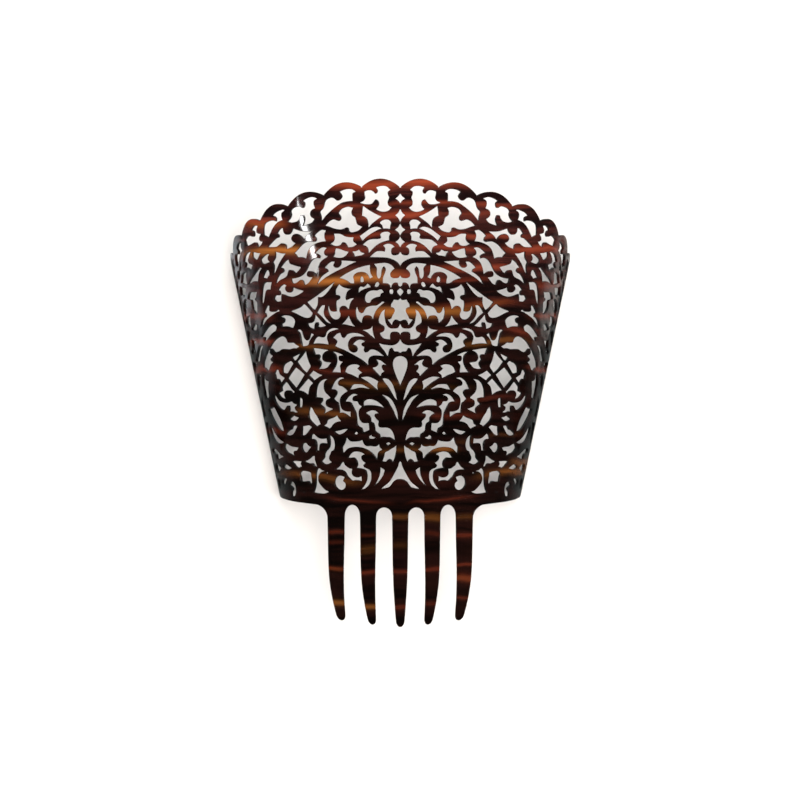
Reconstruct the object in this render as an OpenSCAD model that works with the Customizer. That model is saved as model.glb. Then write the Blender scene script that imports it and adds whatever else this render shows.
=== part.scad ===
// Tall curved hair comb, cut from one sheet bent into half a cone.
// It lies on its two side edges with the hollow down; the crest points along +Y.
/* [Panel] */
// Height of the panel in the middle, from the base edge to the notches of the crest, in mm
panel_height = 156.7; // [130:0.1:180]
// Radius of the outer face at the base edge, in mm
base_radius = 58; // [50:0.5:66]
// Growth of the radius for each mm up the panel
flare = 0.21; // [0.15:0.01:0.26]
// Thickness of the sheet, in mm
sheet = 1.8; // [1.5:0.1:2.6]
// How much lower the crest is at the side edges than in the middle, in mm
crest_drop = 40; // [30:1:48]
// How much higher the base edge is at the side edges than in the middle, in mm
base_rise = 5.5; // [3:0.5:9]
// Rise of each lobe of the crest above the line between its notches, in mm
lobe_rise = 4.2; // [3:0.1:6]
// Rounding of the lower corners, in mm
corner_radius = 3; // [1:0.5:5]
/* [Teeth] */
// Length of the middle tooth below the base edge, in mm
tooth_length = 58.5; // [45:0.5:70]
// Width of a tooth near its root, in mm
tooth_width = 8.2; // [6.5:0.1:9.5]
// Half the width over all five teeth, in mm
teeth_reach = 35.6; // [33:0.1:38]
// How far the tips of the outer teeth curve to the middle, in mm
tip_shift = 2.8; // [1:0.1:5]
// How far the tips curve in to the hollow, in mm
tip_hook = 2.5; // [0:0.1:5]
// Rounding where the base edge meets the outer teeth, in mm
shoulder = 7; // [4:0.5:9]
/* [Piercing] */
// Lean of the window walls, as a share of the lean of the sheet where they are cut
wall_lean = 0.5; // [0.3:0.05:0.8]
/* [Hidden] */
half_turn = 90;
lobe_steps = 8;
// Notches between the lobes, from the middle to the side edge: [across, height above the
// crest line as a share of lobe_rise]. Across is 0 in the middle and 100 at the side edge
notches = [
    [0, 0],
    [13.4, 0.24],
    [27.5, -0.08],
    [42.7, -0.17],
    [57.7, -0.26],
    [72.5, -0.15],
    [86.5, -0.25],
    [100, -0.3],
];
// Width of the flat bottom of each notch, and how far it is sunk
notch_width = 0.7;
notch_sink = 0.15;
// Height where the rounded top of each gap between teeth begins
gap_start = -4;
past = 8;
reach = base_radius + flare * panel_height + past;
// The part's middle along Y, counted from the base edge
middle_y = ((notch_y(0) + notch_y(1)) / 2 + lobe_rise - tooth_length) / 2;
// Teeth from left to right: [root centre, width, length, sideways shift of the tip],
// as shares of teeth_reach, tooth_width, tooth_length and tip_shift
teeth = [
    [-0.882, 1.04, 0.945, 1],
    [-0.442, 0.98, 0.98, 0.8],
    [0, 0.98, 1, 0],
    [0.442, 0.98, 0.98, -0.8],
    [0.882, 1.04, 0.945, -1],
];
// Top of the outer gaps between teeth above the base edge, and of each gap as a share of it
gap_rise = 1.5;
gap_tops = [1, 0.13, 0.13, 1];
// Taper of a tooth: [share of the length, share of the width]
taper = [[0, 1], [0.1, 1], [0.3, 0.96], [0.45, 0.92], [0.65, 0.83], [0.8, 0.7], [0.94, 0.54]];
// Windows on the middle line: the right half of each outline from top to bottom, as
// [across, up]. Across is 0 in the middle and 100 at the side edge, up is 0 at the base
// edge and 100 at the notches of the crest
middle_windows = [
    [[0, 98], [0.7, 97.15], [1.6, 96.5], [0.7, 95.9], [0, 95.1]],
    [[0, 93.2], [0.7, 92.05], [1.7, 91.3], [0.7, 90.45], [0, 89.3]],
    [[0, 88.6], [0.75, 87.5], [1.8, 86.8], [0.75, 86.1], [0, 85.1]],
    [[0, 84.6], [0.7, 83.65], [1.7, 83], [0.7, 82.35], [0, 81.4]],
    [[0, 79.9], [0.6, 79.1], [1.8, 78.8], [3, 79], [3.4, 79.9], [3.1, 81], [2.1, 81.5], [3.4, 82.3],
        [5, 82.4], [6.2, 82], [5.5, 81.1], [5.7, 80], [6.7, 80.2], [8.6, 80.2], [10, 79.5], [11.2, 78.6],
        [8, 78.4], [4.5, 78.1], [2.3, 77.4], [1, 76.7], [0, 75.6]],
    [[0, 72.5], [0.5, 71.9], [1.5, 71.7], [2.7, 71.7], [3.7, 72.3], [3.8, 73.2], [3.2, 74], [2.2, 74.7],
        [3.2, 75.7], [4.8, 76.4], [7, 76.5], [9.8, 76.3], [8.8, 75.1], [8.9, 73.4], [8.7, 72.2],
        [8.1, 71.7], [7.5, 72.2], [7.2, 73.4], [6.9, 74.8], [6.1, 75.6], [5.4, 74.7], [5.8, 73.3],
        [6.5, 72], [6.6, 70.3], [5, 70.2], [4.1, 69.8], [3.6, 68.8], [3, 69.9], [2, 70.4], [0.9, 70.3],
        [0.6, 69.4], [0, 69.1]],
    [[0, 68.5], [0.7, 68.1], [1.2, 67.6], [0.7, 66.8], [0, 66.2]],
    [[0, 65.5], [0.6, 64.9], [2.5, 65], [3, 64.2], [3.6, 63.6], [3.6, 62.8], [2.6, 62.5], [2.1, 61.8],
        [2.5, 60.8], [3.1, 60], [3.5, 59.2], [4.3, 58.9], [5, 58.8], [4.3, 58.1], [3.4, 57.2],
        [2.9, 58.2], [2.2, 58.8], [1.2, 58.8], [0.5, 58.6], [0, 58.4]],
    [[0, 57.4], [0.5, 56.6], [1.2, 56.1], [2.6, 56], [4.1, 56.1], [5.2, 56.8], [5.9, 57.9], [6.2, 59.2],
        [6.4, 60.6], [6.1, 62], [7.2, 61.4], [8.1, 60.2], [8.6, 58.9], [8.4, 57.9], [7.4, 57.3],
        [6.5, 56.8], [6.3, 56], [6.8, 55.2], [8.3, 54.7], [7.8, 53.8], [6.5, 53], [4.2, 52.7],
        [4.2, 54.2], [3.6, 54.9], [2.5, 55.1], [1, 55], [0.4, 54.7], [0, 54.1]],
    [[0, 52.7], [0.5, 51.9], [1.5, 51.2], [3, 50.8], [4.6, 50.8], [6.5, 51], [8.8, 51.5], [7.8, 50.3],
        [6.5, 49], [5.3, 47.5], [4.9, 48.6], [4.5, 49.6], [3.7, 50.1], [3, 49.8], [2.5, 49], [1, 48.9],
        [0, 48.5]],
    [[0, 47.4], [1.6, 47.1], [2.7, 46.3], [3.1, 45], [2.8, 43.6], [2.1, 42], [1.2, 40.4], [0.5, 39.3],
        [0, 38.4]],
    [[0, 14.6], [0.6, 14], [1, 13], [1.8, 12], [3.1, 10.5], [4.6, 8.9], [6.1, 7.8], [8, 6.9], [9.7, 6],
        [8, 6.2], [6, 6.5], [5, 7], [4, 7.9], [2.8, 8.6], [1.5, 9], [0, 9.1]],
];
// Windows of the right half, each cut in the left half too: points as [across, up]
side_windows = [
    // Windows of the crest lobes
    [[3.4, 99.2], [4.3, 98.7], [4.3, 97.8], [3.9, 96.8], [4.4, 95.6], [4.2, 94.4], [3.1, 93.7],
        [4.2, 92.8], [5.6, 92.5], [7.3, 92.8], [8.5, 93.4], [7.5, 94.5], [7.4, 95.4], [8, 96.3],
        [8.6, 96.5], [9.2, 95.9], [10, 95.2], [11.2, 95.1], [12.6, 95.3], [14.1, 95.8], [12.8, 96.3],
        [12.2, 97.2], [12.4, 98.3], [12.4, 99.1], [11.3, 99.4], [10, 99.3], [9.2, 98.8], [8.7, 98.2],
        [8.1, 98.3], [7.7, 99.1], [8.3, 100.2], [6.6, 100.5], [4.8, 100.3]],
    [[15.6, 99.4], [16.6, 99], [16.8, 98], [16.8, 96.6], [18.7, 96.7], [20.8, 96.5], [23, 95.6],
        [25, 94.6], [27, 93.4], [28.9, 91.9], [28.9, 93.4], [29.2, 94.9], [28.1, 95.7], [27.5, 96.6],
        [27.1, 97.6], [26.3, 98.3], [24.9, 98.6], [23.6, 98.3], [22.8, 97.6], [22, 97.3], [21, 97.7],
        [20.4, 98.5], [20.7, 99.3], [21.3, 100], [20, 100.4], [18.3, 100.5], [16.7, 100.2]],
    [[30, 99.3], [31.3, 98.8], [31.6, 97.8], [31.2, 96.4], [32.6, 96.1], [33.4, 95.3], [33.2, 94.1],
        [31.9, 93], [33, 92.2], [35, 91.9], [36.9, 91.9], [36.1, 93], [35.8, 94.1], [36.2, 95.2],
        [37.3, 95.4], [37.9, 94.6], [39, 93.9], [40.9, 93.9], [42.4, 94.3], [43.4, 94.8], [42, 95.6],
        [41.3, 96.6], [41.4, 97.7], [40.6, 98.3], [39, 98.5], [37.4, 98.3], [36.5, 97.6], [35.7, 97.5],
        [35.2, 98.1], [35.1, 99], [35.9, 99.8], [34, 100.2], [31.8, 100.1]],
    [[44.2, 98.8], [45.7, 98.4], [46.1, 97.4], [45.8, 96], [47.6, 96], [49.5, 95.6], [51.2, 94.8],
        [52.6, 93.8], [54.3, 92.4], [55.4, 93.3], [56.8, 94.2], [56.5, 95.6], [56, 96.8], [55.2, 97.5],
        [53.5, 97.7], [51.6, 97.4], [50, 96.9], [49.1, 96.4], [48.8, 97.4], [49.4, 98.2], [50.6, 98.9],
        [49.2, 99.3], [47.3, 99.4], [45.5, 99.3]],
    [[59.6, 98.2], [60.6, 97.5], [60.9, 96.4], [59.8, 95.6], [58.4, 95], [59.6, 94.4], [60, 93.5],
        [59.3, 92.7], [58.1, 92.2], [59.8, 91.5], [61.8, 91.4], [61.9, 92.9], [63.2, 93.8], [65.2, 94],
        [67.2, 94.3], [69.8, 94.8], [70, 96.2], [70.3, 97.4], [68.5, 97.7], [66.2, 97.3], [64.7, 96.4],
        [63.4, 95.9], [62.6, 96.4], [62.8, 97.6], [64.2, 98.6], [62.5, 99.2], [60.8, 98.9]],
    [[73, 98.3], [74.5, 97.6], [74.9, 96.4], [74.3, 95.2], [76.3, 94.9], [78.4, 94.3], [80.3, 93.4],
        [82.2, 92.2], [83.6, 93.2], [85.2, 94.1], [84.7, 95.5], [84.4, 96.7], [83.3, 97.4], [81.6, 97.1],
        [80.2, 96.3], [79.1, 96.1], [78.6, 97], [79.6, 98.3], [77.8, 98.9], [75.3, 98.8]],
    [[87.3, 97.9], [88.8, 97.1], [88.9, 95.9], [88.2, 94.8], [90, 94.2], [91.6, 93], [93.2, 92.4],
        [95.2, 92.6], [95.3, 94.2], [94.9, 95.6], [93.7, 96.2], [92.4, 96.3], [92, 97.2], [92.7, 98.2],
        [91.3, 98.6], [89.3, 98.5]],
    // Arches below the crest
    [[16.8, 94.4], [17.4, 93.4], [17.3, 92.2], [16.2, 91.3], [15.9, 90.2], [15.5, 89.1], [13.8, 88.2],
        [15, 87.3], [16.5, 86.9], [18, 86.9], [18.7, 87.4], [18.8, 88.2], [19.5, 88.6], [20.3, 88.4],
        [21.3, 88.2], [23, 88.4], [24.8, 89], [26.3, 89.7], [27.7, 90.2], [26.6, 91], [25.4, 91.5],
        [24.2, 91.6], [23.1, 91.2], [22.3, 90.9], [21.5, 91.3], [21.4, 92.2], [22.2, 93.4], [21.4, 94.3],
        [20.2, 94.8], [18.4, 94.9]],
    [[33.6, 89.3], [35.6, 89.7], [37.7, 90.2], [39.6, 91.1], [41.7, 92.1], [42.2, 91.3], [43.4, 90.6],
        [45, 90.8], [46.1, 91.8], [46.2, 93.4], [47.6, 93.4], [49.4, 92.5], [48.6, 91.6], [48.9, 90.9],
        [50.4, 91], [52.3, 90.5], [55.7, 89.6], [53.2, 88.9], [50.9, 88.3], [49.2, 88.5], [48.2, 88.7],
        [46.6, 88.2], [45.8, 87.4], [45.9, 86.3], [44.5, 86.2], [42.8, 86.4], [41.2, 87.1], [42.4, 87.9],
        [42.9, 88.9], [42.2, 89.8], [41, 90.1], [39.6, 89.7], [38.3, 88.8], [37.2, 87.4], [36.1, 88.3],
        [35, 88.8]],
    [[67.2, 91.9], [69.1, 92.4], [71.5, 92.8], [73.6, 92.3], [75.2, 91.3], [73.9, 90.6], [73.4, 89.8],
        [74, 89.2], [75.2, 88.8], [73.2, 88.3], [71.6, 87.2], [69.6, 85.7], [68.9, 86.5], [67.8, 87.1],
        [69, 87.9], [70.2, 88.6], [70.7, 89.6], [70.3, 90.5], [69, 91.1]],
    // Upper scrolls
    [[3.6, 85.6], [4.2, 86.1], [5.4, 86.2], [6.6, 86], [7.3, 85.4], [7, 84.7], [7.4, 84.1], [8.6, 84.1],
        [10.2, 84.1], [11.6, 83.9], [12.8, 83.3], [13.8, 82.6], [12.4, 82], [11.8, 81.1], [11.7, 79.9],
        [10.5, 80.9], [9, 82], [7.4, 82.8], [5.7, 83.3], [4.1, 83.6], [4.1, 84.8]],
    [[17.2, 85.2], [17.4, 84], [16.1, 82.9], [17.6, 82.3], [19.5, 82.3], [19.9, 83.1], [20.6, 83.9],
        [21.6, 84.1], [22.3, 83.4], [23.6, 83.2], [25, 83.5], [26.3, 84.2], [25.1, 84.7], [24.5, 85.6],
        [24.6, 87.1], [23.4, 87], [22, 86.7], [20.4, 85.8], [18.9, 85.4]],
    [[27.7, 88.6], [29.4, 89.1], [31, 88.7], [32.7, 87.8], [32, 87.1], [31.9, 86.2], [32.7, 85.8],
        [34, 86.1], [35.6, 86.4], [37.3, 86.2], [38.8, 85.7], [40.3, 84.9], [42.3, 84], [41.5, 83.3],
        [40.9, 82.4], [39.7, 82.2], [38.4, 81.8], [37.2, 81.1], [36.6, 82.4], [35.8, 83.6], [34.6, 84.5],
        [33.2, 85], [31.5, 85.3], [29.8, 85.4], [28.1, 85.3], [28.5, 86.5], [28.4, 87.7]],
    [[77.8, 82.4], [79.9, 83], [82, 83.9], [84.2, 85.2], [86.2, 86.2], [87.8, 84.6], [88.4, 82.9],
        [86.5, 82.5], [84.7, 82.2], [83.3, 81.3], [82.4, 80.2], [80.4, 80.7]],
    [[89.7, 84.8], [91.7, 85.2], [93.8, 84.5], [96, 83.2], [95.3, 81.3], [95.8, 79.6], [93.9, 78.9],
        [92, 79.4], [90.4, 80.6], [90.2, 82.2], [89.7, 83.4]],
    // Leaves of the upper half
    [[16.6, 77.5], [18.6, 77.8], [20.5, 78.1], [22.6, 78.4], [22.6, 77.6], [23.1, 76.8], [24.2, 76.3],
        [25.3, 76.5], [25.9, 77.2], [25.2, 78.3], [26.6, 78.5], [28, 78], [29.6, 77], [28.4, 76.3],
        [28.1, 75.6], [29.2, 75.2], [30.8, 74.6], [32.2, 73.7], [33.6, 72.1], [32, 72.8], [30.5, 73.5],
        [28.8, 74.1], [26.6, 74.8], [24, 75.5], [21.2, 76.2], [19, 76.9]],
    [[28, 83.1], [29.4, 83.5], [30.8, 83.4], [33.1, 82.3], [31.8, 81.7], [31, 81], [31.3, 80.2],
        [32.2, 80.5], [33.4, 80.6], [34.8, 80.1], [36, 79.2], [37.1, 78], [38.1, 77.1], [39.6, 76.3],
        [41.6, 75.9], [43.5, 75.9], [45.4, 76.1], [45.2, 74.8], [43.9, 74.3], [42.4, 74.5], [41.1, 74.9],
        [39.9, 74.5], [39.3, 72.9], [37.8, 73.1], [36.6, 73.8], [35.3, 74.7], [36.7, 75], [37.6, 75.5],
        [37.7, 76.3], [37, 77], [35.9, 76.9], [34.6, 76.4], [33.3, 75.4], [32.9, 76.5], [32.2, 77.8],
        [31.2, 79], [29.9, 79.7], [27.9, 80.3], [29, 81], [29.3, 81.8], [28.9, 82.5]],
    [[40.1, 78.9], [41.9, 79.6], [43.6, 80.3], [45.2, 81.2], [45.6, 82.7], [47.4, 82.4], [48.9, 81.7],
        [50.3, 81.1], [49, 80.4], [48.7, 79.5], [49.6, 79.1], [51, 79], [52.4, 78.4], [53.6, 77.5],
        [54.9, 76.1], [53, 76.7], [51.1, 77.1], [49, 77.2], [47.5, 77.6], [46.8, 78.5], [46.1, 79.2],
        [45.2, 79], [44.1, 78.6], [43, 77.4], [41.6, 77.9]],
    [[56.6, 77.6], [58.4, 78], [60.2, 78.6], [62.2, 78.5], [63.4, 77.7], [64.5, 76.2], [65.4, 74.6],
        [66.3, 72.8], [64.8, 72.3], [63.8, 73.2], [62.6, 74.3], [61.8, 75.3], [60.9, 75.9], [59.5, 75.8],
        [58.1, 75.3], [57.5, 76.5]],
    [[68.3, 77.4], [70.5, 78], [72.6, 78.7], [74.8, 79.4], [76.6, 79.2], [78.4, 78.2], [76.6, 77.3],
        [75.1, 76.7], [74.7, 75.8], [75.2, 74.6], [75.1, 73.3], [74.2, 72], [73.1, 70.9], [71.3, 69.9],
        [70.6, 71.3], [70, 72.7], [69.5, 73.9], [70.4, 74.6], [71.2, 75.4], [70.6, 75.9], [69.6, 75.8],
        [69.2, 76.7]],
    [[79.8, 78.6], [81.6, 79.3], [84, 79.5], [86.2, 78.9], [88.6, 77.3], [87.6, 76.1], [88.2, 74.6],
        [86.3, 74.1], [84.5, 74.5], [82.8, 75.3], [81.6, 76.3], [80.6, 77.3]],
    [[40.2, 71.1], [41.6, 71.6], [43.2, 72.2], [44.4, 72.8], [45.4, 73.3], [45.8, 72.3], [46.8, 71.8],
        [48, 72], [49, 72.6], [49.5, 73.4], [49.3, 74.1], [48.5, 74.4], [49.6, 75.1], [51.2, 75.1],
        [52.5, 74.7], [53.7, 74.1], [52.9, 73.7], [52.6, 72.9], [53, 72.3], [54, 72.3], [55.2, 72.7],
        [56.4, 72.3], [56.9, 71.8], [55.6, 70.6], [54, 70.3], [52.7, 70.1], [52.4, 71.2], [51.9, 72.4],
        [50.6, 71.9], [49.2, 71.2], [47.6, 70.6], [45.8, 70.2], [43.8, 70.2], [42, 70.5], [40.8, 70.8]],
    // Sprays of the middle
    [[11.5, 76.1], [13, 76], [15, 75.7], [17, 75.3], [19, 74.7], [21, 74.1], [22.6, 73.5], [23.8, 73],
        [22.1, 72.5], [20.8, 71.9], [19.4, 71], [18, 70.8], [18, 71.8], [18.2, 72.9], [17.3, 73.8],
        [15.6, 74.2], [13.8, 74], [12.7, 73.4], [12.1, 72.5], [11.7, 71.9], [10.5, 72.3], [11.3, 73.4],
        [11.5, 74.6]],
    [[24.1, 71.1], [24.9, 70.4], [25.8, 69.3], [25.9, 67.9], [24.6, 67.6], [24.1, 67], [24.6, 66.3],
        [25.9, 65.8], [26, 64.3], [26.1, 62.6], [27.5, 62.6], [28.7, 63.1], [29.2, 64], [29.4, 65.2],
        [29.8, 63.8], [29.5, 62.3], [28.7, 61], [27.4, 60.2], [25.9, 60.1], [24.9, 60.6], [24.5, 61.6],
        [24.9, 62.6], [24.6, 63.6], [23.6, 64.1], [22.4, 64], [21.6, 63.4], [20.9, 62.7], [20.4, 64],
        [19.7, 65.2], [18.5, 66.1], [20, 66.1], [21.6, 65.7], [21.9, 66.4], [21.5, 67.6], [20.8, 68.6],
        [19.5, 69.1], [21, 69.4], [22.5, 69.9], [23.5, 70.5]],
    [[6.2, 64.3], [7, 64.5], [8.1, 63.9], [9.6, 63.3], [11.5, 63.3], [13.5, 62.9], [14.4, 62.1],
        [14.9, 61.4], [15.8, 61.2], [16.6, 61.7], [17, 62.4], [17.4, 63.4], [17.9, 62.2], [17.9, 60.8],
        [17.4, 59.5], [15.8, 58.2], [15.5, 59.2], [14.9, 60.1], [13.9, 60.5], [12.5, 60.4], [11.6, 60],
        [11.1, 59.1], [10.5, 60.6], [9.5, 62], [8, 63.2]],
    [[25.8, 72.2], [27.8, 71.3], [30, 70.3], [32.5, 69.3], [35, 68.4], [37, 67.8], [39.2, 67.2],
        [38.4, 66.3], [37.3, 65.1], [35.9, 64.1], [35, 64.9], [34.2, 66], [33.8, 68.1], [32.2, 67.9],
        [30.4, 68.5], [28.7, 69.6], [27.2, 70.8]],
    [[37.1, 63.3], [38.4, 64.6], [39.6, 65.9], [40.9, 66.8], [42.6, 66.2], [44.6, 65.9], [46.6, 65.8],
        [48.3, 65.7], [46.7, 65], [44.6, 63.9], [42.6, 62.9], [40.8, 62.3], [39, 62.1], [37.8, 62.5]],
    // Sprays towards the sides
    [[57, 67.1], [54.6, 67.1], [55.8, 67.8], [57.4, 67.5], [59, 67.7], [60.4, 68.1], [61.4, 68.7],
        [60.8, 70.3], [62.2, 70.8], [63.8, 70.3], [65.8, 69.3], [64.7, 68.4], [64.9, 67.4], [66.3, 67.4],
        [67.9, 67], [69.2, 66.1], [70.5, 65], [68.2, 65.2], [66, 65.8], [63.5, 66.4], [61, 66.7],
        [59, 66.9]],
    [[46.6, 62.2], [47.4, 63.3], [49, 64.2], [51, 64.8], [52.8, 65.1], [54.7, 65.1], [53.2, 64.5],
        [52.4, 63.8], [53, 62.9], [54.8, 62.6], [54.8, 61.7], [52.6, 61.4], [50.6, 60.9], [48.5, 60.1],
        [47.3, 60.9]],
    [[58.2, 62.2], [59.5, 63.2], [61.5, 63.7], [64, 63.6], [66.6, 63.1], [69, 62.4], [71.6, 61.7],
        [69.8, 61.3], [68.6, 60.7], [69.8, 59.6], [68, 59.4], [65.6, 60], [63.2, 60.6], [61, 61],
        [59.2, 61.2]],
    [[79.2, 71.9], [81.4, 72.5], [83.8, 73.1], [86.3, 73.4], [89.2, 72.7], [88, 71.2], [86, 70],
        [84.2, 68.9], [82, 68], [81, 69.3], [80.6, 70.6]],
    [[78.2, 61.8], [80.4, 62.5], [82.5, 63.2], [84.9, 64.2], [85.2, 62.6], [86.2, 61.2], [88.2, 60.8],
        [90.6, 61.2], [89, 59.6], [86.8, 58.7], [84.6, 58.6], [82.6, 59.6], [80.4, 60.9]],
    [[84.4, 67.2], [86.4, 68.1], [88.6, 69.1], [91, 69.3], [92.2, 67.7], [94.2, 66.9], [96, 67.2],
        [96.1, 65], [94.2, 63.8], [91.7, 63.6], [89.3, 64.4], [87.2, 65.8]],
    // Scrolls of the middle
    [[15, 53.9], [16.6, 54.7], [18.5, 55.1], [20.5, 55.2], [22.3, 54.9], [23.2, 54.2], [23.9, 53.9],
        [24.7, 54.3], [25.3, 55.7], [27, 55.4], [28.7, 54.4], [27.6, 53.8], [27, 53], [28.1, 51.7],
        [26.5, 51], [24, 50.1], [21.5, 48.9], [19, 47.8], [17, 46.9], [15.5, 46], [13.9, 44.9],
        [13.8, 46.2], [13.2, 47.2], [12, 47.7], [10.4, 47.8], [9, 47.7], [7, 47.5], [8.3, 48.3],
        [9.7, 49.1], [11.2, 49.6], [12.8, 49.6], [13.8, 49], [14.9, 48.8], [15.5, 49.5], [15.2, 50.6],
        [16.3, 51.1], [16.3, 51.8], [14.8, 52.3], [16, 52.8], [17.6, 52.9], [19, 52.4], [20, 51.7],
        [18.6, 51.1], [18.1, 50.2], [18.6, 49.3], [19.8, 49], [21.2, 49.4], [22.1, 50.4], [22.3, 51.7],
        [21.7, 52.9], [20.5, 53.8], [18.6, 54.1], [16.8, 54]],
    // Lattice
    [[43, 51.9], [44.4, 50.9], [46.3, 49.8], [48.9, 48.7], [47.8, 47.4], [46.2, 45.7], [44.2, 44.3],
        [43, 45.1], [41.5, 46.3], [42.1, 47.7], [42.6, 49.2]],
    [[50.2, 47], [53.2, 45.6], [56.5, 43.9], [54.3, 42], [51.9, 39.9], [48.8, 41.7], [45.5, 43.9],
        [47.8, 45.5]],
    [[53.2, 38.8], [54.5, 39.7], [55.8, 41], [57, 42.2], [58.2, 43.1], [60.2, 42.4], [62.2, 41.5],
        [62.4, 40.2], [64, 40], [65.9, 39.8], [64.8, 38.6], [63.3, 37.8], [60.6, 37.2], [61.1, 38.5],
        [60.4, 39.5], [59, 39.9], [57.3, 39.8], [55.8, 39.4], [54.6, 38.5]],
    // Windows beside the lattice
    [[46.3, 53.5], [48, 54.3], [49.3, 55.2], [51, 55.4], [52.7, 55.8], [53.1, 56.9], [54.2, 57.9],
        [56.2, 58.5], [58.6, 58.5], [61.2, 58.1], [63.8, 57.4], [66, 56.5], [68, 56], [69.6, 55.2],
        [71.2, 54.5], [73, 53.7], [74.8, 52.7], [76.2, 51.2], [74.4, 50.6], [72, 49], [70, 49.2],
        [68.6, 50], [67.2, 50.7], [65.6, 51], [66.8, 51.6], [67.2, 52.5], [64.6, 53.2], [66, 53.8],
        [66.9, 54.7], [66.3, 55.7], [65.2, 56], [64.2, 55.5], [63.2, 54.5], [61.8, 54], [59.5, 53.9],
        [57, 54.2], [54.3, 53.8], [52, 53.4], [49.6, 53.4], [48, 53.1]],
    [[73, 45.2], [75, 45.8], [76, 46.6], [75.2, 48.6], [77.4, 49.1], [79.9, 47.4], [81.2, 45.4],
        [81.6, 43], [81.5, 41], [80.8, 39.5], [78.2, 39.5], [76, 39.9], [75.2, 41.8], [74.1, 43.6]],
    [[84.5, 54.2], [86.8, 55.3], [89.6, 56.3], [92.6, 57.1], [95.8, 57.3], [95.2, 54.8], [93.2, 53],
        [90.4, 52.4], [87.4, 52.9]],
    // Fan and scrolls of the lower half
    [[19.4, 35.7], [21.2, 36], [22.9, 35.6], [24.3, 34.8], [25.4, 33.8], [24, 33.7], [22.7, 33.3],
        [22.1, 32.4], [21.2, 31.2], [20.6, 30.1], [20.4, 28.7], [20.3, 26.4], [19.3, 25.6], [18.2, 25.2],
        [17.6, 23.8], [16.2, 24.1], [14.8, 24.5], [14.9, 26.6], [16.5, 26.6], [18, 26.8], [18.9, 27.5],
        [19.4, 28.5], [19.5, 29.8], [19.1, 31], [17.8, 31.9], [19.1, 32.6], [19.7, 33.5], [21.5, 33.7],
        [22.1, 34.4], [21.4, 35.2]],
    [[10, 29.7], [11.5, 30.4], [13.1, 30.6], [14.6, 30.3], [15.9, 29.8], [14.4, 29.1], [13.6, 28.3],
        [13.5, 27.2], [12.3, 26.6], [11.8, 25.4], [11.7, 24.3], [10.6, 23.6], [9.6, 23.1], [9.4, 22.2],
        [8, 22.3], [6.5, 22.2], [5, 22.2], [4.1, 21.9], [2.6, 21.2], [3, 22.6], [3.8, 23.9], [5, 24.8],
        [6.8, 25.1], [8.8, 25.1], [10.1, 25.4], [10.4, 26.3], [10.1, 27.1], [11.2, 27.9], [12, 28.7],
        [11.8, 29.5]],
    [[25.2, 41.2], [27, 41.5], [28.6, 41.1], [30, 40.3], [31.1, 39.2], [32, 38.1], [30.4, 37.9],
        [29.3, 37.3], [29.3, 36.4], [31.1, 34.9], [30, 34], [29.1, 33.6], [28.8, 32.5], [28.9, 30.3],
        [27.5, 30.3], [26, 29.9], [23.6, 28.7], [23.4, 30.4], [25, 30.5], [26.5, 30.8], [27.7, 31.5],
        [28.2, 32.7], [28.2, 34.4], [27.4, 35.5], [26.2, 36.2], [24.1, 37], [25.2, 37.9], [26.5, 38.6],
        [28.1, 39], [28.4, 39.9], [27.3, 40.8]],
    [[33.6, 41.4], [35.5, 41.4], [37.1, 41], [38.5, 40.2], [39.5, 39], [40.2, 37.5], [40.5, 36],
        [38.8, 35.8], [37.2, 35.5], [37.2, 34.6], [38.8, 33.6], [37.6, 32.9], [36.6, 32.2], [36.6, 31.3],
        [37.3, 30.3], [35.6, 30.8], [34.2, 31.1], [32.2, 31.6], [33.8, 32.1], [35.2, 32.6], [35.8, 33.5],
        [35.2, 34.6], [32.9, 35.3], [34, 36.2], [35.1, 37], [35.8, 38.2], [35.7, 39.6], [35, 40.7]],
    [[53, 34.3], [55, 34.9], [56.3, 35.8], [58.2, 35.8], [60.4, 35.7], [63, 36.1], [65.5, 36.8],
        [67.1, 37.8], [68.2, 39], [69.3, 40.1], [70.6, 39.2], [70.6, 38], [69.8, 36.8], [68.4, 35.5],
        [66.6, 34.4], [64.8, 33.7], [63, 33.5], [61.6, 34.1], [60.2, 34.7], [58.9, 34.5], [58.9, 33.5],
        [59.6, 32.5], [57.2, 32.4], [55.8, 31.9], [53.2, 31.8], [54.7, 32.7], [54.8, 33.7]],
    [[66.8, 26.2], [68.8, 26.2], [71.2, 27], [73.8, 28.7], [76, 30.6], [78, 32.6], [80, 35.6],
        [77.2, 35.4], [72.6, 35.4], [71.3, 34], [69.9, 32.5], [68.4, 30.6], [67.4, 28.6]],
    [[69, 22], [72, 22.9], [74.5, 24], [76.5, 25.2], [78.4, 26.8], [79.9, 28.3], [81.4, 29.5],
        [84.6, 28.4], [84.4, 26.6], [83.2, 25], [81.3, 23.6], [78.8, 22.6], [75.8, 22], [72.6, 21.7]],
    [[85.6, 41.6], [88, 41.3], [91, 40.2], [92.4, 38], [92.6, 35.6], [92, 33.4], [89.2, 33.8],
        [86.2, 33.8], [87, 35.8], [87.1, 37.8], [86.2, 39.8]],
    [[83.8, 31.5], [86.2, 31], [88.6, 31.2], [91.6, 31.6], [93, 28.8], [93.4, 25.6], [92.6, 22.6],
        [90, 23.2], [87.9, 24.8], [87, 27], [86.4, 29.2]],
    // Lower band
    [[8.8, 18.3], [10, 18.9], [10.3, 20], [11.3, 19.4], [12.6, 19.2], [14.5, 19.4], [16.5, 19.4],
        [17.6, 19.9], [18.6, 21.4], [19.9, 21], [22, 21], [24.4, 21], [26.4, 22.3], [27, 21.2],
        [27.8, 20.2], [28.9, 19.2], [28.9, 17.3], [27.7, 18], [26.5, 18.6], [25, 19], [23, 19.2],
        [21, 19.2], [19, 19], [17.5, 18.7], [16, 18.3], [14.5, 17.6], [13, 16.7], [11.5, 15.4],
        [11.2, 16.5], [10.9, 17.4], [9.9, 17.8]],
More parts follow.
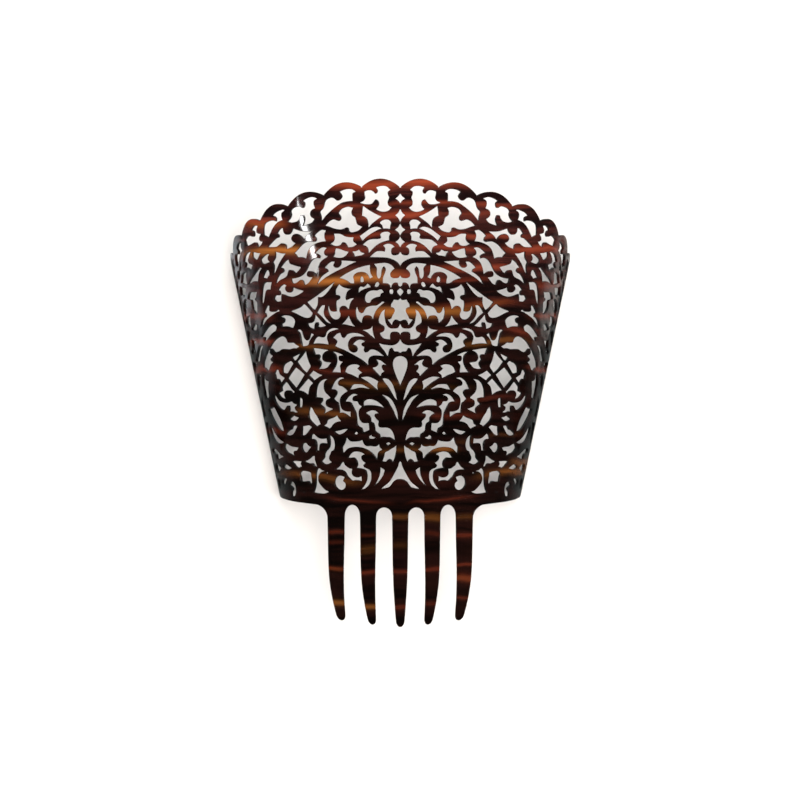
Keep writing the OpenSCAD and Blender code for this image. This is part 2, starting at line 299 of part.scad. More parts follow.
    [[17.7, 16.8], [19, 17.3], [20.5, 17.6], [22.1, 17.7], [23.8, 17.5], [25.1, 16.9], [26.3, 15.9],
        [24.8, 15.8], [23.3, 15.9], [22.2, 15.3], [21.6, 14.5], [21.5, 13.6], [22.2, 12.6], [20.8, 12.5],
        [19.6, 12.3], [18.2, 12.1], [17.3, 11.6], [17, 10.7], [17, 9.6], [17.4, 8.5], [18.1, 7.6],
        [19.1, 6.7], [20.4, 5.8], [18.8, 6], [17.4, 6.6], [16.2, 7.4], [15.2, 8.7], [14.9, 10],
        [15.1, 11.3], [16, 12], [17.3, 12.4], [18.4, 12.7], [18.8, 13.4], [17.6, 14.1], [18.7, 14.6],
        [19.5, 15.3], [19.6, 16.1], [18.8, 16.6]],
    [[41.2, 11.5], [42.9, 11.8], [44.2, 12.4], [45.5, 12.2], [46.6, 11.2], [47.2, 9.8], [47.6, 8.4],
        [48.3, 6.8], [49.3, 5.4], [50.6, 4.2], [47.4, 4], [43, 4], [40, 4.6], [41.9, 5], [43.6, 6],
        [45.1, 6.9], [46, 8], [46, 9], [45.4, 9.9], [44.5, 10.6], [43.2, 11.2]],
    [[72.8, 16.8], [75.4, 17.5], [77.6, 18.4], [80, 19.4], [83, 20.2], [86.6, 20.5], [90, 19.9],
        [87.6, 18.7], [84.8, 18.4], [83.2, 17.6], [83.4, 16], [80, 16], [76, 16.4]],
    [[93.2, 18.6], [96.2, 20.4], [96.4, 16], [96, 11], [94.8, 6.4], [93, 8.6], [92.2, 11.6],
        [92.6, 15.2]],
];
function radius(y) = base_radius + flare * y;
function theta(across) = across / 100 * half_turn;
function base_y(t) = base_rise * (1 - cos(t));
function crest_y(t) = panel_height - crest_drop * (1 - cos(t));
function height(across, up) = let(t = theta(across))
    base_y(t) + up / 100 * (crest_y(t) - base_y(t));
function notch_turn(k) = theta(notches[k][0]);
function notch_y(k) = crest_y(notch_turn(k)) + notches[k][1] * lobe_rise;
// A point of the outer face seen by a cutter that is turned by lean: [sideways, up]
function seen(t, y, lean) = [radius(y) * sin(t - lean), y];
function mirrored(right) = concat(right, [for (k = [len(right) - 1:-1:0])
    if (right[k][0] > 0) [-right[k][0], right[k][1]]]);
function middle(outline) = let(a = [for (p = outline) p[0]]) (min(a) + max(a)) / 2;
// Teeth are drawn from the front: x across and y up
function tooth_point(row, side, s) = [
    row[0] * teeth_reach + side * row[1] * tooth_width / 2 * lookup(s, taper)
        + row[3] * tip_shift * pow(max(0, 2 * s - 1), 2),
    -s * row[2] * tooth_length];
function tip_point(row, side, t) = let(last = taper[len(taper) - 1],
    s = last[0] + (1 - last[0]) * sin(t), edge = tooth_point(row, 0, s))
    [edge[0] + side * row[1] * tooth_width / 2 * last[1] * cos(t), edge[1]];
function tooth_edge(row, side) = concat([for (s = [0.12, 0.3, 0.45, 0.56, 0.65, 0.74, 0.83, 0.9])
    tooth_point(row, side, s)], [for (t = [0:30:90]) tip_point(row, side, t)]);
function backwards(list) = [for (k = [len(list) - 1:-1:0]) list[k]];
function gap_arc(left, right, top) = [for (t = [180:-22.5:0])
    [(left + right) / 2 + (right - left) / 2 * cos(t), gap_start + (top - gap_start) * sin(t)]];
module blank() {
    low = -tooth_length - past;
    high = panel_height + lobe_rise + past;
    outer = [[radius(high), high], [radius(0), 0], [radius(-0.5 * tooth_length), -0.5 * tooth_length],
        [radius(low) - tip_hook, low]];
    rotate([-90, 0, 0])
        rotate([0, 0, 180])
            rotate_extrude(angle = 180, $fn = 180)
                polygon(concat(outer, [for (p = backwards(outer)) p - [sheet, 0]]));
}
// Cuts the sheet off above one lobe, from notch k to the next
module crest_cutter(k, side) {
    low = notch_turn(k);
    high = notch_turn(k + 1);
    lean = (low + high) / 2;
    arc = [for (step = [0:lobe_steps]) let(s = step / lobe_steps)
        seen(low + s * (high - low),
            notch_y(k) * (1 - s) + notch_y(k + 1) * s + 4 * lobe_rise * s * (1 - s), lean)];
    top = panel_height + lobe_rise + 2 * past;
    overlap = [1.5, 0];
    rotate([0, side * lean, 0])
        linear_extrude(height = reach)
            polygon([for (p = concat(arc, [seen(high, top, lean) + overlap, seen(low, top, lean) - overlap]))
                [side * p[0], p[1]]]);
}
module notch_cutter(k, side) {
    rotate([0, side * notch_turn(k), 0])
        translate([-notch_width / 2, notch_y(k) - notch_sink, 0])
            cube([notch_width, lobe_rise, reach]);
}
module base_cutter() {
    side = teeth_reach + shoulder;
    difference() {
        translate([0, 0, base_radius])
            rotate([atan(base_rise / base_radius), 0, 0])
                translate([-2 * reach, -2 * reach, -2 * reach])
                    cube([4 * reach, 2 * reach, 4 * reach]);
        translate([-side, -3 * reach, -3 * reach])
            cube([2 * side, 6 * reach, 6 * reach]);
    }
}
module gap_cutter(k) {
    left = tooth_edge(teeth[k], 1);
    right = tooth_edge(teeth[k + 1], -1);
    low = [0, -2 * past];
    linear_extrude(height = reach)
        polygon(concat(backwards(left),
            gap_arc(tooth_point(teeth[k], 1, 0)[0], tooth_point(teeth[k + 1], -1, 0)[0], gap_tops[k] * gap_rise),
            right, [right[len(right) - 1] + low, left[len(left) - 1] + low]));
}
module shoulder_cutter(side) {
    row = side > 0 ? teeth[len(teeth) - 1] : teeth[0];
    edge = tooth_edge(row, side);
    root = tooth_point(row, side, 0)[0];
    out = side * (teeth_reach + shoulder);
    top = base_rise * (1 - sqrt(1 - pow(out / base_radius, 2)));
    arc = [for (t = [0:15:90]) [out + (root - out) * cos(t), top + shoulder * (sin(t) - 1)]];
    low = -tooth_length - 3 * past;
    // Where the cut runs on into what base_cutter takes away
    beyond = out + side;
    linear_extrude(height = reach)
        polygon(concat(backwards(edge), arc,
            [[beyond, top - 1], [beyond, low], [edge[len(edge) - 1][0], low]]));
}
module corner_cutter() {
    r = corner_radius;
    rotate([90, 0, 90])
        linear_extrude(height = 4 * reach, center = true)
            polygon(concat([[base_rise - past, -past], [base_rise - past, r]],
                [for (t = [90:-15:0]) [base_rise + r - r * sin(t), r - r * cos(t)]],
                [[base_rise + r, -past]]));
}
module window(outline, side) {
    lean = side * wall_lean * theta(middle(outline));
    rotate([0, lean, 0])
        linear_extrude(height = reach)
            polygon([for (p = outline) seen(side * theta(p[0]), height(p[0], p[1]), lean)]);
}
module comb() {
    color("saddlebrown")
        translate([0, -middle_y, 0])
            difference() {
                blank();
                for (side = [-1, 1], k = [0:len(notches) - 2]) crest_cutter(k, side);
                for (side = [-1, 1], k = [0:len(notches) - 1]) notch_cutter(k, side);
                base_cutter();
                for (k = [0:len(gap_tops) - 1]) gap_cutter(k);
                for (side = [-1, 1]) shoulder_cutter(side);
                corner_cutter();
                for (outline = middle_windows) window(mirrored(outline), 1);
                for (side = [-1, 1], outline = side_windows) window(outline, side);
            }
}
comb();
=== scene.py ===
import math

import bmesh
import bpy
import numpy as np
from mathutils import Matrix, Vector, geometry, kdtree


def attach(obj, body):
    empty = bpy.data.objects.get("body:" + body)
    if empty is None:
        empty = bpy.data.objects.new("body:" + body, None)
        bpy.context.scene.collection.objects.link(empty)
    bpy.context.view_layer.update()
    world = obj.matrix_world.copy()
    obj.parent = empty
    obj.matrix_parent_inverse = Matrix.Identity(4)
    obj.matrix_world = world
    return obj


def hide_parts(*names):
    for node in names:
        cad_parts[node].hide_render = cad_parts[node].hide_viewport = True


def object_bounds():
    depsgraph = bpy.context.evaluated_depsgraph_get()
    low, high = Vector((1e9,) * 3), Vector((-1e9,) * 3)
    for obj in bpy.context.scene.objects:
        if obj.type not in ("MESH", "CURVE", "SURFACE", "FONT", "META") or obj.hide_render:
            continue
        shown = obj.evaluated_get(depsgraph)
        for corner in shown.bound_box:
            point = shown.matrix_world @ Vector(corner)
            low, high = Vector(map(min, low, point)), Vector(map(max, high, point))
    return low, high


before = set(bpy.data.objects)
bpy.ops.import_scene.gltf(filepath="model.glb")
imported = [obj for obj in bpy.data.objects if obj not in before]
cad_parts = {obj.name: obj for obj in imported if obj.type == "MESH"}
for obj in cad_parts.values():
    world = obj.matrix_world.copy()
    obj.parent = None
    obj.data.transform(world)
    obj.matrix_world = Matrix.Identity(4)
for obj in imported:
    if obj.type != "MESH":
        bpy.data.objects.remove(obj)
CAD_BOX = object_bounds()

# Sizes of the sheet, in mm, as in the part's source. Heights are counted from the base edge,
# and the flare is the radius gained for each mm of height
MM = 1000
BASE_RADIUS = 58.0
FLARE = 0.21
SHEET = 1.8
PANEL_HEIGHT = 156.7
CREST_DROP = 40.0
BASE_RISE = 5.5
TOOTH_LENGTH = 58.5
TIP_HOOK = 2.5
# A window's cut turns by this share of the sheet's own turn at the window's middle
WALL_LEAN = 0.5
# A charted point is 100 across at the side edge, a quarter turn from the middle
DEGREES_ACROSS = 0.9
# Height in the sheet of the row frame's y = 0, and of the highest lobes
MIDDLE_Y = (CAD_BOX[1][1] - CAD_BOX[0][1]) * MM / 2 - TOOTH_LENGTH
LOBE_TOP = CAD_BOX[1][1] * MM + MIDDLE_Y

# The outer face's radius between these heights, in mm. It drops further at the hooked tips
BLANK_LOW = -TOOTH_LENGTH - 8
BLANK_HIGH = 200
PROFILE_Y = [BLANK_LOW, -TOOTH_LENGTH / 2, 0, BLANK_HIGH]
PROFILE_R = [BASE_RADIUS + FLARE * y for y in PROFILE_Y]
PROFILE_R[0] -= TIP_HOOK

# How the CAD's edge lines are read: the weld is in metres, the rest in mm
WELD = 2e-6
ON_FACE = 0.02
STRAIGHT_WITHIN = 0.05

# How the edges are softened, in mm. A point that turns by more than the degrees stays a corner
FRONT_EDGE = 0.28
BACK_EDGE = 0.12
CORNER_DEGREES = 66
EDGE_STEP = 0.62

# Guards for sharp or folded corners: the least cosine that an inset divides by, and two
# lengths that count as none
LEAST_CORNER = 0.55
NO_LENGTH = 1e-9
FOLDED_BACK = 1e-6

# Below this height and inside this turn the outline is cut straight down, as the teeth are.
# Elsewhere it is cut square to the sheet
TEETH_BELOW = 3
TEETH_WITHIN = math.radians(50)

# Points spread over the faces, in mm, with rows closer together than the points in a row
FIELD_STEP = 2.6
FIELD_ROW_SHARE = 0.87
FIELD_GAP = 0.9

# The plane that the faces are triangulated in takes the sheet as unrolled at this radius
PLANE_RADIUS = 75.0
INSIDE_ONLY = 1
PLANE_WELD = 1e-6

# Rings from the front face over the edge to the back face:
# [inset in edge widths, depth in edge widths, counted from the back, share of the wall's normal]
RINGS = [
    (1.0, 0.0, False, 0.0),
    (0.29, 0.29, False, 0.5),
    (0.0, 1.0, False, 1.0),
    (0.0, 1.0, True, 1.0),
    (1.0, 0.0, True, 0.0),
]

# Small windows of the right half, each also on the left: points as [across, up], in shares of
# the half turn and of the height from the base edge to the notches of the crest
SMALL_WINDOWS = [
    [(6.7, 91), (8.3, 91.7), (10, 92.6), (11.6, 93.6), (13.1, 94.7), (13.4, 93.4), (13.6, 91.7),
     (12.6, 91.3), (11.8, 90.5), (11.5, 89.4), (11.4, 87.8), (10.4, 88.8), (9, 89.7), (7.8, 90.4)],
    [(60.7, 89), (62.4, 89.6), (64.1, 90.4), (66, 91.3), (66.8, 90.2), (66.2, 89.2), (65.3, 88.5),
     (63.8, 87.7), (62.4, 88.2)],
    [(77.2, 92.3), (79.2, 92), (80.9, 91.1), (82.3, 90.9), (84.6, 91.5), (86.6, 90.3), (85.8, 89),
     (84, 88.2), (82.3, 88.7), (80.5, 89.2), (78.5, 90), (78.5, 91.2)],
    [(88.2, 91.2), (90.6, 91.1), (93, 90.2), (95.6, 90.1), (95.4, 88.2), (93.8, 86.9), (91.6, 86.8),
     (89.6, 87.8), (87.9, 88.7), (89.1, 89.8)],
    [(3.3, 89), (4, 89.8), (5.3, 90), (6.5, 89.7), (7.3, 89.1), (6.5, 88.3), (6.1, 87.3), (5, 87.3),
     (3.7, 87.1), (3.6, 88.2)],
    [(6.8, 87.3), (8, 87.8), (9.6, 87.8), (11.2, 87.3), (12.7, 86.5), (14.8, 85.4), (14.4, 84.7),
     (13.8, 83.9), (12.6, 84.8), (11, 85.7), (9.2, 86.5), (8, 87)],
    [(46.6, 84.9), (48.4, 85.3), (50, 86), (51.9, 86.9), (52.1, 85.9), (52.5, 84.9), (54.2, 83.9),
     (53.8, 82.7), (54.2, 81.3), (55.2, 79.4), (53.5, 80.3), (52.2, 81.3), (50.9, 82.4), (49.4, 83.4),
     (47.9, 84.2)],
    [(55.5, 87), (57, 87.5), (59, 87.4), (61.3, 86.9), (61.2, 86), (60.3, 85.2), (58.6, 84.7),
     (55.9, 84.5), (56.6, 85.3), (56.5, 86.3)],
    [(61.6, 83.9), (63, 84.7), (65, 84.4), (67, 84), (69.4, 83.6), (72, 83.3), (75.4, 82.5),
     (72.2, 82), (69.8, 81.8), (67.6, 81.2), (66, 80.2), (65.2, 81.4), (64.2, 82.7), (62.8, 83.5)],
    [(74.2, 87), (75.9, 87.7), (77.8, 88), (79.8, 88.1), (81.3, 87), (83.2, 86.3), (81.2, 85.4),
     (79.6, 84.4), (78, 83.5), (75.7, 83.1), (75.8, 84.4), (75.2, 85.8)],
    [(13.3, 79.9), (14.6, 80.3), (15.4, 81.2), (16.5, 80.8), (18, 80.8), (17.4, 80.1), (17.1, 79.2),
     (15.6, 79.3), (14.3, 79.4)],
    [(19.4, 80.8), (21, 81.3), (22.6, 82), (24.4, 82.5), (24.8, 81.6), (24.9, 80.8), (25.6, 80),
     (24, 79.5), (22.2, 79.3), (20.6, 79.8)],
    [(57.1, 81.2), (58, 82.3), (59.6, 82.2), (62.1, 80.8), (60.7, 80.2), (59.2, 79.5), (58.4, 80),
     (57.3, 80.3)],
    [(90.2, 77.6), (92, 77.2), (93.7, 76.3), (96, 75.9), (95.9, 73.7), (95, 71.8), (93.2, 70.9),
     (91.6, 71.7), (90.6, 73.2), (91.3, 74.8), (90.8, 76.2)],
    [(14.1, 71.1), (14.2, 72.2), (14.8, 72.8), (15.4, 72.2), (15.4, 71.1), (14.8, 70.9)],
    [(8.1, 70.1), (8.6, 70.7), (9.3, 70.5), (9.9, 69.5), (9.1, 69.1), (8.5, 69.4)],
    [(11.5, 69.2), (12.1, 70), (12.8, 70.3), (13.4, 69.8), (14.3, 69.3), (15.4, 69.6), (16.1, 69.1),
     (16.5, 67.7), (15.1, 68.4), (13.4, 68.9)],
    [(2.7, 67.6), (3, 68.2), (3.9, 68.2), (4.2, 67.6), (3.8, 66.9), (2.9, 66.9)],
    [(6.5, 67.4), (7.1, 68.2), (8, 68.3), (9, 68), (10.5, 68.1), (12.1, 67.9), (13.3, 67.2),
     (13.9, 66.1), (13.8, 65), (13, 64.4), (12, 64.4), (11.5, 65.1), (10.4, 65.7), (9.1, 66),
     (8, 66.1), (7.6, 67)],
    [(31, 65), (32.4, 65.2), (33.6, 64.5), (35.1, 63.2), (33.8, 62.2), (32.6, 61.1), (31.3, 59.8),
     (29, 58.8), (30.5, 60.2), (31.6, 61.6), (31.9, 63), (31.5, 64)],
    [(36, 62.8), (36.4, 61.7), (37, 60.8), (38, 60.3), (40.1, 60.3), (39.7, 59.3), (38.6, 58.6),
     (37.2, 58.2), (36.9, 59.3), (36.2, 60.1), (35.1, 60.1), (34.9, 59.4), (35.3, 58.7), (34, 58.4),
     (31.5, 58.5), (33, 59.7), (34.5, 61.2)],
    [(73.7, 66.6), (75.2, 67.5), (76.8, 68.3), (78.4, 67.8), (81.4, 67.3), (79.8, 66.3), (77.6, 65.8),
     (75.4, 65.2)],
    [(18.6, 57.2), (19.6, 58), (20.4, 59.2), (21, 60.9), (22, 59.9), (23.2, 59), (24.2, 58.4),
     (22.5, 58.1), (20.5, 57.6)],
    [(11.4, 57.1), (12.2, 56.3), (13.5, 56), (15.5, 55.9), (13.8, 55.2), (12.3, 54.2), (10.6, 53.1),
     (11.1, 54.5), (11.4, 55.8)],
    [(24.8, 48.5), (26.5, 49.2), (28, 49.7), (29.5, 49.9), (28.2, 49), (27.8, 48), (27.9, 46.8),
     (28.4, 45.7), (29.3, 44.7), (30.8, 43.5), (28.6, 43.3), (26.6, 43.1), (26.6, 44.3), (26.6, 45.4),
     (25.3, 46.4), (26.7, 46.8), (27.1, 47.6), (26.8, 48.4)],
    [(26, 57), (28, 57.4), (30, 57.2), (31.6, 56.5), (32.4, 55.3), (33.4, 54.9), (35.9, 55.4),
     (37.2, 54.9), (38.7, 53.5), (36, 53.3), (33.5, 52.9), (31.1, 52.4), (31.3, 53.4), (31.6, 54.4),
     (31.3, 55.4), (30.2, 56.3), (28.4, 56.7)],
    [(37.8, 56.3), (39.2, 57.1), (39.9, 56), (40.7, 55.1), (41.9, 54.9), (42.9, 55.8), (43.4, 57),
     (43.7, 58.3), (44.6, 58.9), (46.3, 59), (45.2, 58.1), (44.8, 57), (44.7, 55.6), (44.6, 53.4),
     (42.4, 53.2), (41.1, 53.5), (40.4, 54.5), (39.3, 55.4)],
    [(31.5, 50.6), (34, 51.1), (36.5, 51.6), (38.9, 52), (38.2, 49.9), (36.3, 49.7), (35.8, 49),
     (36.5, 48), (35.7, 47.2), (35.8, 46.3), (37.2, 45.1), (35, 44.9), (33, 45.1), (31.9, 45.8),
     (30.9, 46.5), (32.5, 46.8), (33.9, 47.1), (34.8, 47.8), (34.9, 48.7), (34.4, 49.6), (33, 50.3)],
    [(6, 44.7), (7.2, 45.4), (8.4, 46.1), (10.2, 46.5), (9.6, 45.8), (9.4, 45.1), (10.2, 44.3),
     (12, 43.9), (11, 43.1), (9.9, 42.2), (8.6, 41.3), (8.2, 42.1), (7, 42.7), (7.8, 43.5), (8, 44.4),
     (7.3, 44.9)],
    [(17.6, 44.7), (19, 45.2), (21, 45.3), (22.7, 45), (23.8, 44.3), (24.5, 43.2), (23.2, 42.6),
     (21.5, 42.1), (18.6, 40.9), (18.2, 41.9), (16.7, 42.6), (17.9, 43.2), (18.8, 44)],
    [(43.8, 42.5), (46, 41.5), (48, 40.5), (50.9, 39.2), (48, 38.5), (45, 37), (44.2, 38.5),
     (43.3, 39.7), (41.4, 40.7)],
    [(35.9, 42.8), (37.5, 43.4), (39, 44.1), (40.4, 44.8), (43.1, 43.5), (41.8, 42.6), (40.6, 41.5),
     (39, 42), (37.4, 42.5)],
    [(51.2, 48.4), (52.6, 49.4), (54.6, 49.3), (57.2, 48.9), (58.7, 48), (59.4, 46.4), (56.1, 45.6),
     (54.5, 46.4), (52.8, 47.4)],
    [(45.9, 51.5), (47.5, 51), (49.2, 50.8), (51.4, 50.5), (50.4, 49.3), (49.2, 49.3), (48, 49.9),
     (46.9, 50.7)],
    [(58.6, 44.3), (60.3, 45.2), (61.7, 46), (62.3, 47.6), (64, 48), (66.2, 47.1), (65.8, 46),
     (65.9, 45), (64, 44.8), (62.9, 43.9), (62.6, 42.6), (60.7, 43.4)],
    [(71.7, 58.3), (73.6, 58.9), (75.9, 59), (78, 58.4), (80, 57.4), (82, 56.5), (84.8, 55.5),
     (82, 54.8), (78.8, 54), (77.6, 54.9), (76, 56), (74.8, 57), (73.2, 57.7)],
    [(81.6, 49), (84, 50.2), (86.6, 50.6), (89, 49.6), (90.8, 47.6), (91.6, 44.8), (89, 45.1),
     (86.6, 45.9), (84.6, 47), (84.6, 48.4)],
    [(93.5, 50.6), (96, 51.4), (96.4, 47.6), (96.4, 43.6), (95.4, 40.2), (94, 42.4), (93.6, 45),
     (94, 47.8)],
    [(1.5, 33.8), (2.1, 35.6), (3, 37.8), (4, 39.3), (5.3, 40.2), (6.6, 40.5), (7.7, 40.4),
     (6.8, 39.3), (5.5, 38.2), (4.3, 36.8), (3.2, 35.4), (2.3, 34.3)],
    [(1.1, 27.6), (1.2, 29), (1.7, 30.6), (2.7, 32.3), (4, 33.8), (5.6, 34.8), (8.2, 35.5),
     (6.8, 34.6), (5.4, 33.4), (4.2, 31.9), (3, 30.4), (2.1, 28.8)],
    [(9.7, 39.6), (11, 40.2), (12.6, 40.8), (14.4, 41.2), (17.4, 41.1), (16, 40.4), (14.3, 39.6),
     (12.8, 38.7), (11.4, 37.8), (10.1, 37), (10.3, 38.4)],
    [(13.6, 37.3), (15.3, 38.1), (17, 38.8), (19, 39), (21.2, 38.9), (22.7, 37.5), (20.6, 37.6),
     (18.5, 37.9), (16.5, 37.8)],
    [(7.4, 31.4), (8.5, 32.2), (9.8, 33), (11.5, 33.7), (13.6, 34.1), (15.5, 33.9), (16.6, 33.4),
     (16.8, 32.2), (14.5, 32.3), (12, 32.2), (9.8, 31.9)],
    [(28.6, 27.6), (29.7, 28.5), (30.4, 29.5), (31.5, 29.1), (33, 28.7), (34.8, 28.4), (36, 28),
     (36.6, 27.1), (38.2, 26.4), (36.5, 25.9), (35.2, 25.4), (34.1, 25.8), (33.1, 26.6), (31.7, 27.2),
     (30, 27.5)],
    [(25.6, 24.9), (27.5, 24.9), (29.5, 24.6), (32.6, 24.3), (30.5, 23.4), (28.8, 23.5), (27, 24.1)],
    [(39.9, 27), (41, 26.8), (42.3, 26.3), (43.4, 27), (44.6, 27.8), (45.9, 28.9), (46.3, 30),
     (46, 31.4), (44.7, 33.2), (43.5, 32.3), (42.7, 31), (41.7, 29.9), (40.9, 28.9)],
    [(45.5, 26.2), (47, 26.9), (49, 26.9), (51.6, 26.8), (52.1, 25.5), (52.9, 23.8), (50.4, 23.9),
     (48.8, 24.5), (47.2, 25.4)],
    [(49, 36), (50.7, 36.7), (51.3, 35.1), (51.8, 33.5), (49.9, 33.3), (49.2, 34.5)],
    [(53.1, 29.9), (55, 30.3), (56.5, 30.9), (58.2, 30.5), (60.4, 29.9), (58.3, 29.2), (56.3, 29),
     (54.6, 29.3)],
    [(55, 27.1), (57, 27.4), (58.7, 27.2), (60, 26.3), (62.2, 26), (64, 25.5), (66, 24.9),
     (63.8, 24.3), (61.5, 24.2), (59.4, 24.5), (57.7, 25.3), (56.4, 26.2)],
    [(2, 19.6), (2.8, 19), (4, 18.6), (5.6, 17.9), (7.4, 17.3), (7.9, 16.2), (8.7, 14.7), (7.2, 14.5),
     (6.2, 15.1), (5.2, 15.4), (4.4, 15.2), (3.6, 14.5), (2.9, 15.6), (2.4, 16.9), (2, 18.2)],
    [(4.7, 20.1), (5.7, 20.5), (6.9, 20.1), (5.8, 19.6)],
    [(11.8, 22.1), (13.2, 22.3), (14, 22.9), (15, 22.4), (14.8, 21.8), (13, 21.7)],
    [(20.4, 23.5), (21.2, 24.1), (22.3, 23.4), (21.3, 23.1)],
    [(7.9, 11.8), (8.9, 12.3), (10, 12.7), (10.1, 11.6), (10.4, 10.5), (11, 9.5), (11.8, 8.5),
     (13, 7.2), (11.5, 8), (10.2, 8.9), (9.2, 9.8), (8.4, 10.8)],
    [(20.1, 8.3), (20.1, 10), (21.5, 9.5), (23.2, 9.5), (24.6, 9.9), (25.3, 10.8), (24.9, 12.2),
     (26.2, 12.3), (27.4, 12.8), (28.6, 13.4), (29.4, 14.6), (30.6, 14), (31.7, 13.1), (33.9, 12.1),
     (31, 12), (29.6, 11.7), (28.4, 11), (27.7, 10), (26.7, 9.3), (25.2, 8.5), (23.5, 8.7),
     (21.7, 8.6)],
    [(29.5, 9.5), (31, 9.9), (33, 9.9), (34.6, 9.2), (35.4, 8), (35.2, 6.7), (34, 5.8), (32.4, 5.4),
     (30.8, 5.6), (29.6, 6.4), (29.4, 7.5), (30.7, 8.3)],
    [(33.9, 22.4), (35.6, 23.4), (35.5, 22), (35.6, 20.8), (36.1, 19.6), (37.1, 18.8), (38.6, 18),
     (39.6, 17.1), (40, 16), (42.1, 14.7), (40.6, 13.9), (38.5, 13.8), (36.1, 14.4), (37.3, 15.1),
     (37.3, 16.1), (36.2, 17.2), (35.5, 18), (34.3, 18.3), (33.5, 19.1), (33.2, 20.2), (33.3, 21.4)],
    [(37.5, 22.2), (40, 22.1), (42, 22.4), (43.6, 23.2), (44.9, 24.1), (46.2, 23.6), (47, 22.4),
     (45, 22.2), (43.9, 21.4), (43.8, 20), (44.4, 18.4), (42.9, 18.4), (42.4, 19.6), (41.7, 20.5),
     (40.4, 20.8), (38.8, 20.7), (37.4, 20.6)],
    [(47.8, 19.6), (49.4, 20.1), (50.6, 21), (52.2, 21.1), (53.6, 20.6), (54.2, 19.6), (53.7, 18.5),
     (52.5, 17.9), (51, 18), (49.6, 18.7)],
    [(46.2, 16.5), (47.8, 16.5), (50, 15.7), (51.8, 15.2), (53.8, 14.8), (51.8, 14.3), (50, 14.1),
     (48.1, 14.1), (46.9, 13), (45.6, 13.1), (46, 14.1), (46.4, 15.2)],
    [(50.4, 10.8), (52.2, 11.2), (54.8, 11.4), (57.3, 11.4), (59.4, 10.6), (58.9, 9.4), (59, 7.8),
     (56, 7.8), (53.2, 8), (52.2, 7.2), (51, 7.2), (50.5, 8.2), (50.6, 9.6)],
    [(56.9, 19.6), (59.2, 19.9), (61.6, 20.1), (64, 20.6), (66.2, 21.3), (68.2, 21.3), (69.8, 20.1),
     (68.6, 19), (67, 18.2), (65, 17.8), (63.2, 17.3), (61.2, 16.8), (61.7, 17.9), (60.8, 18.6),
     (58.6, 18.7)],
    [(56.2, 14.8), (58.5, 14.9), (61.2, 15), (64.8, 14.9), (63, 14.1), (62, 13.3), (60.9, 12.9),
     (59.5, 12.4), (58.3, 12.9), (56.6, 13), (57.2, 14)],
    [(66, 12.4), (68.4, 13.2), (70.6, 13.8), (73, 13.8), (76, 12.9), (73, 12.1), (69, 12.1)],
    [(65.8, 6.8), (68, 7.5), (70, 7.2), (72, 6.2), (70, 5.7), (68.6, 5), (69.6, 4.2), (71, 3.6),
     (71.9, 2.2), (69.4, 1.9), (67.4, 2.5), (66, 3.8), (65.3, 5.4)],
    [(73.5, 8.3), (76.2, 8.6), (79, 8.2), (82, 7), (80.6, 5.6), (78, 5.5), (76.6, 6.6)],
    [(78.6, 12.4), (81, 13.4), (84, 14.3), (87.4, 14.2), (90.4, 12.8), (88.6, 11), (85.6, 10.6),
     (82.4, 11.2)],
    [(84.6, 7.6), (87, 8.3), (89.6, 7.8), (91.2, 6), (89.4, 4.4), (86.8, 4.2), (85.2, 5.6)],
    [(39.2, 10.9), (39.5, 11.2), (39.9, 11.2), (40.2, 10.9), (39.9, 10.6), (39.5, 10.6)],
    [(57.4, 4), (57.7, 4.3), (58.1, 4.3), (58.4, 4), (58.1, 3.7), (57.7, 3.7)],
    [(70.3, 10.5), (70.6, 10.9), (71, 10.9), (71.3, 10.5), (71, 10.1), (70.6, 10.1)],
]


def outer_radius(y):
    return np.interp(y, PROFILE_Y, PROFILE_R)


def height(across, up):
    """Height of a charted point above the base edge's middle, in mm."""
    turn = np.radians(across * DEGREES_ACROSS)
    low = BASE_RISE * (1 - np.cos(turn))
    high = PANEL_HEIGHT - CREST_DROP * (1 - np.cos(turn))
    return low + up / 100 * (high - low)


def flat(loop):
    """Points (turn, y) laid out in mm."""
    return np.stack([loop[:, 0] * outer_radius(loop[:, 1]), loop[:, 1]], axis=1)


def front_faces(bm):
    """The faces of the CAD sheet that lie on its outer face, in the mesh's own order."""
    on_front = [
        abs(math.hypot(v.co.x, v.co.z) * MM - outer_radius(v.co.y * MM + MIDDLE_Y)) < ON_FACE
        for v in bm.verts
    ]
    return [f for f in bm.faces if all(on_front[v.index] for v in f.verts)]


def front_edges(bm):
    """The edge lines of the outer face, as a list of following points for each point."""
    faces = front_faces(bm)
    front = set(faces)
    nexts = {}
    for f in faces:
        for corner in f.loops:
            if not any(o in front for o in corner.edge.link_faces if o is not f):
                nexts.setdefault(corner.vert, []).append(corner.link_loop_next.vert)
    return nexts


def front_loops(node):
    """Every edge line of the outer face as an array of (turn, y)."""
    bm = bmesh.new()
    bm.from_mesh(node.data)
    bmesh.ops.remove_doubles(bm, verts=bm.verts, dist=WELD)
    bm.verts.index_update()
    nexts = front_edges(bm)
    loops = []
    while nexts:
        first = vert = next(iter(nexts))
        line = []
        while vert in nexts:
            line.append((math.atan2(vert.co.x, vert.co.z), vert.co.y * MM + MIDDLE_Y))
            following = nexts[vert].pop()
            if not nexts[vert]:
                del nexts[vert]
            vert = following
            if vert is first:
                break
        loops.append(np.array(line))
    bm.free()
    return [loop for loop in loops if len(loop) > 3]


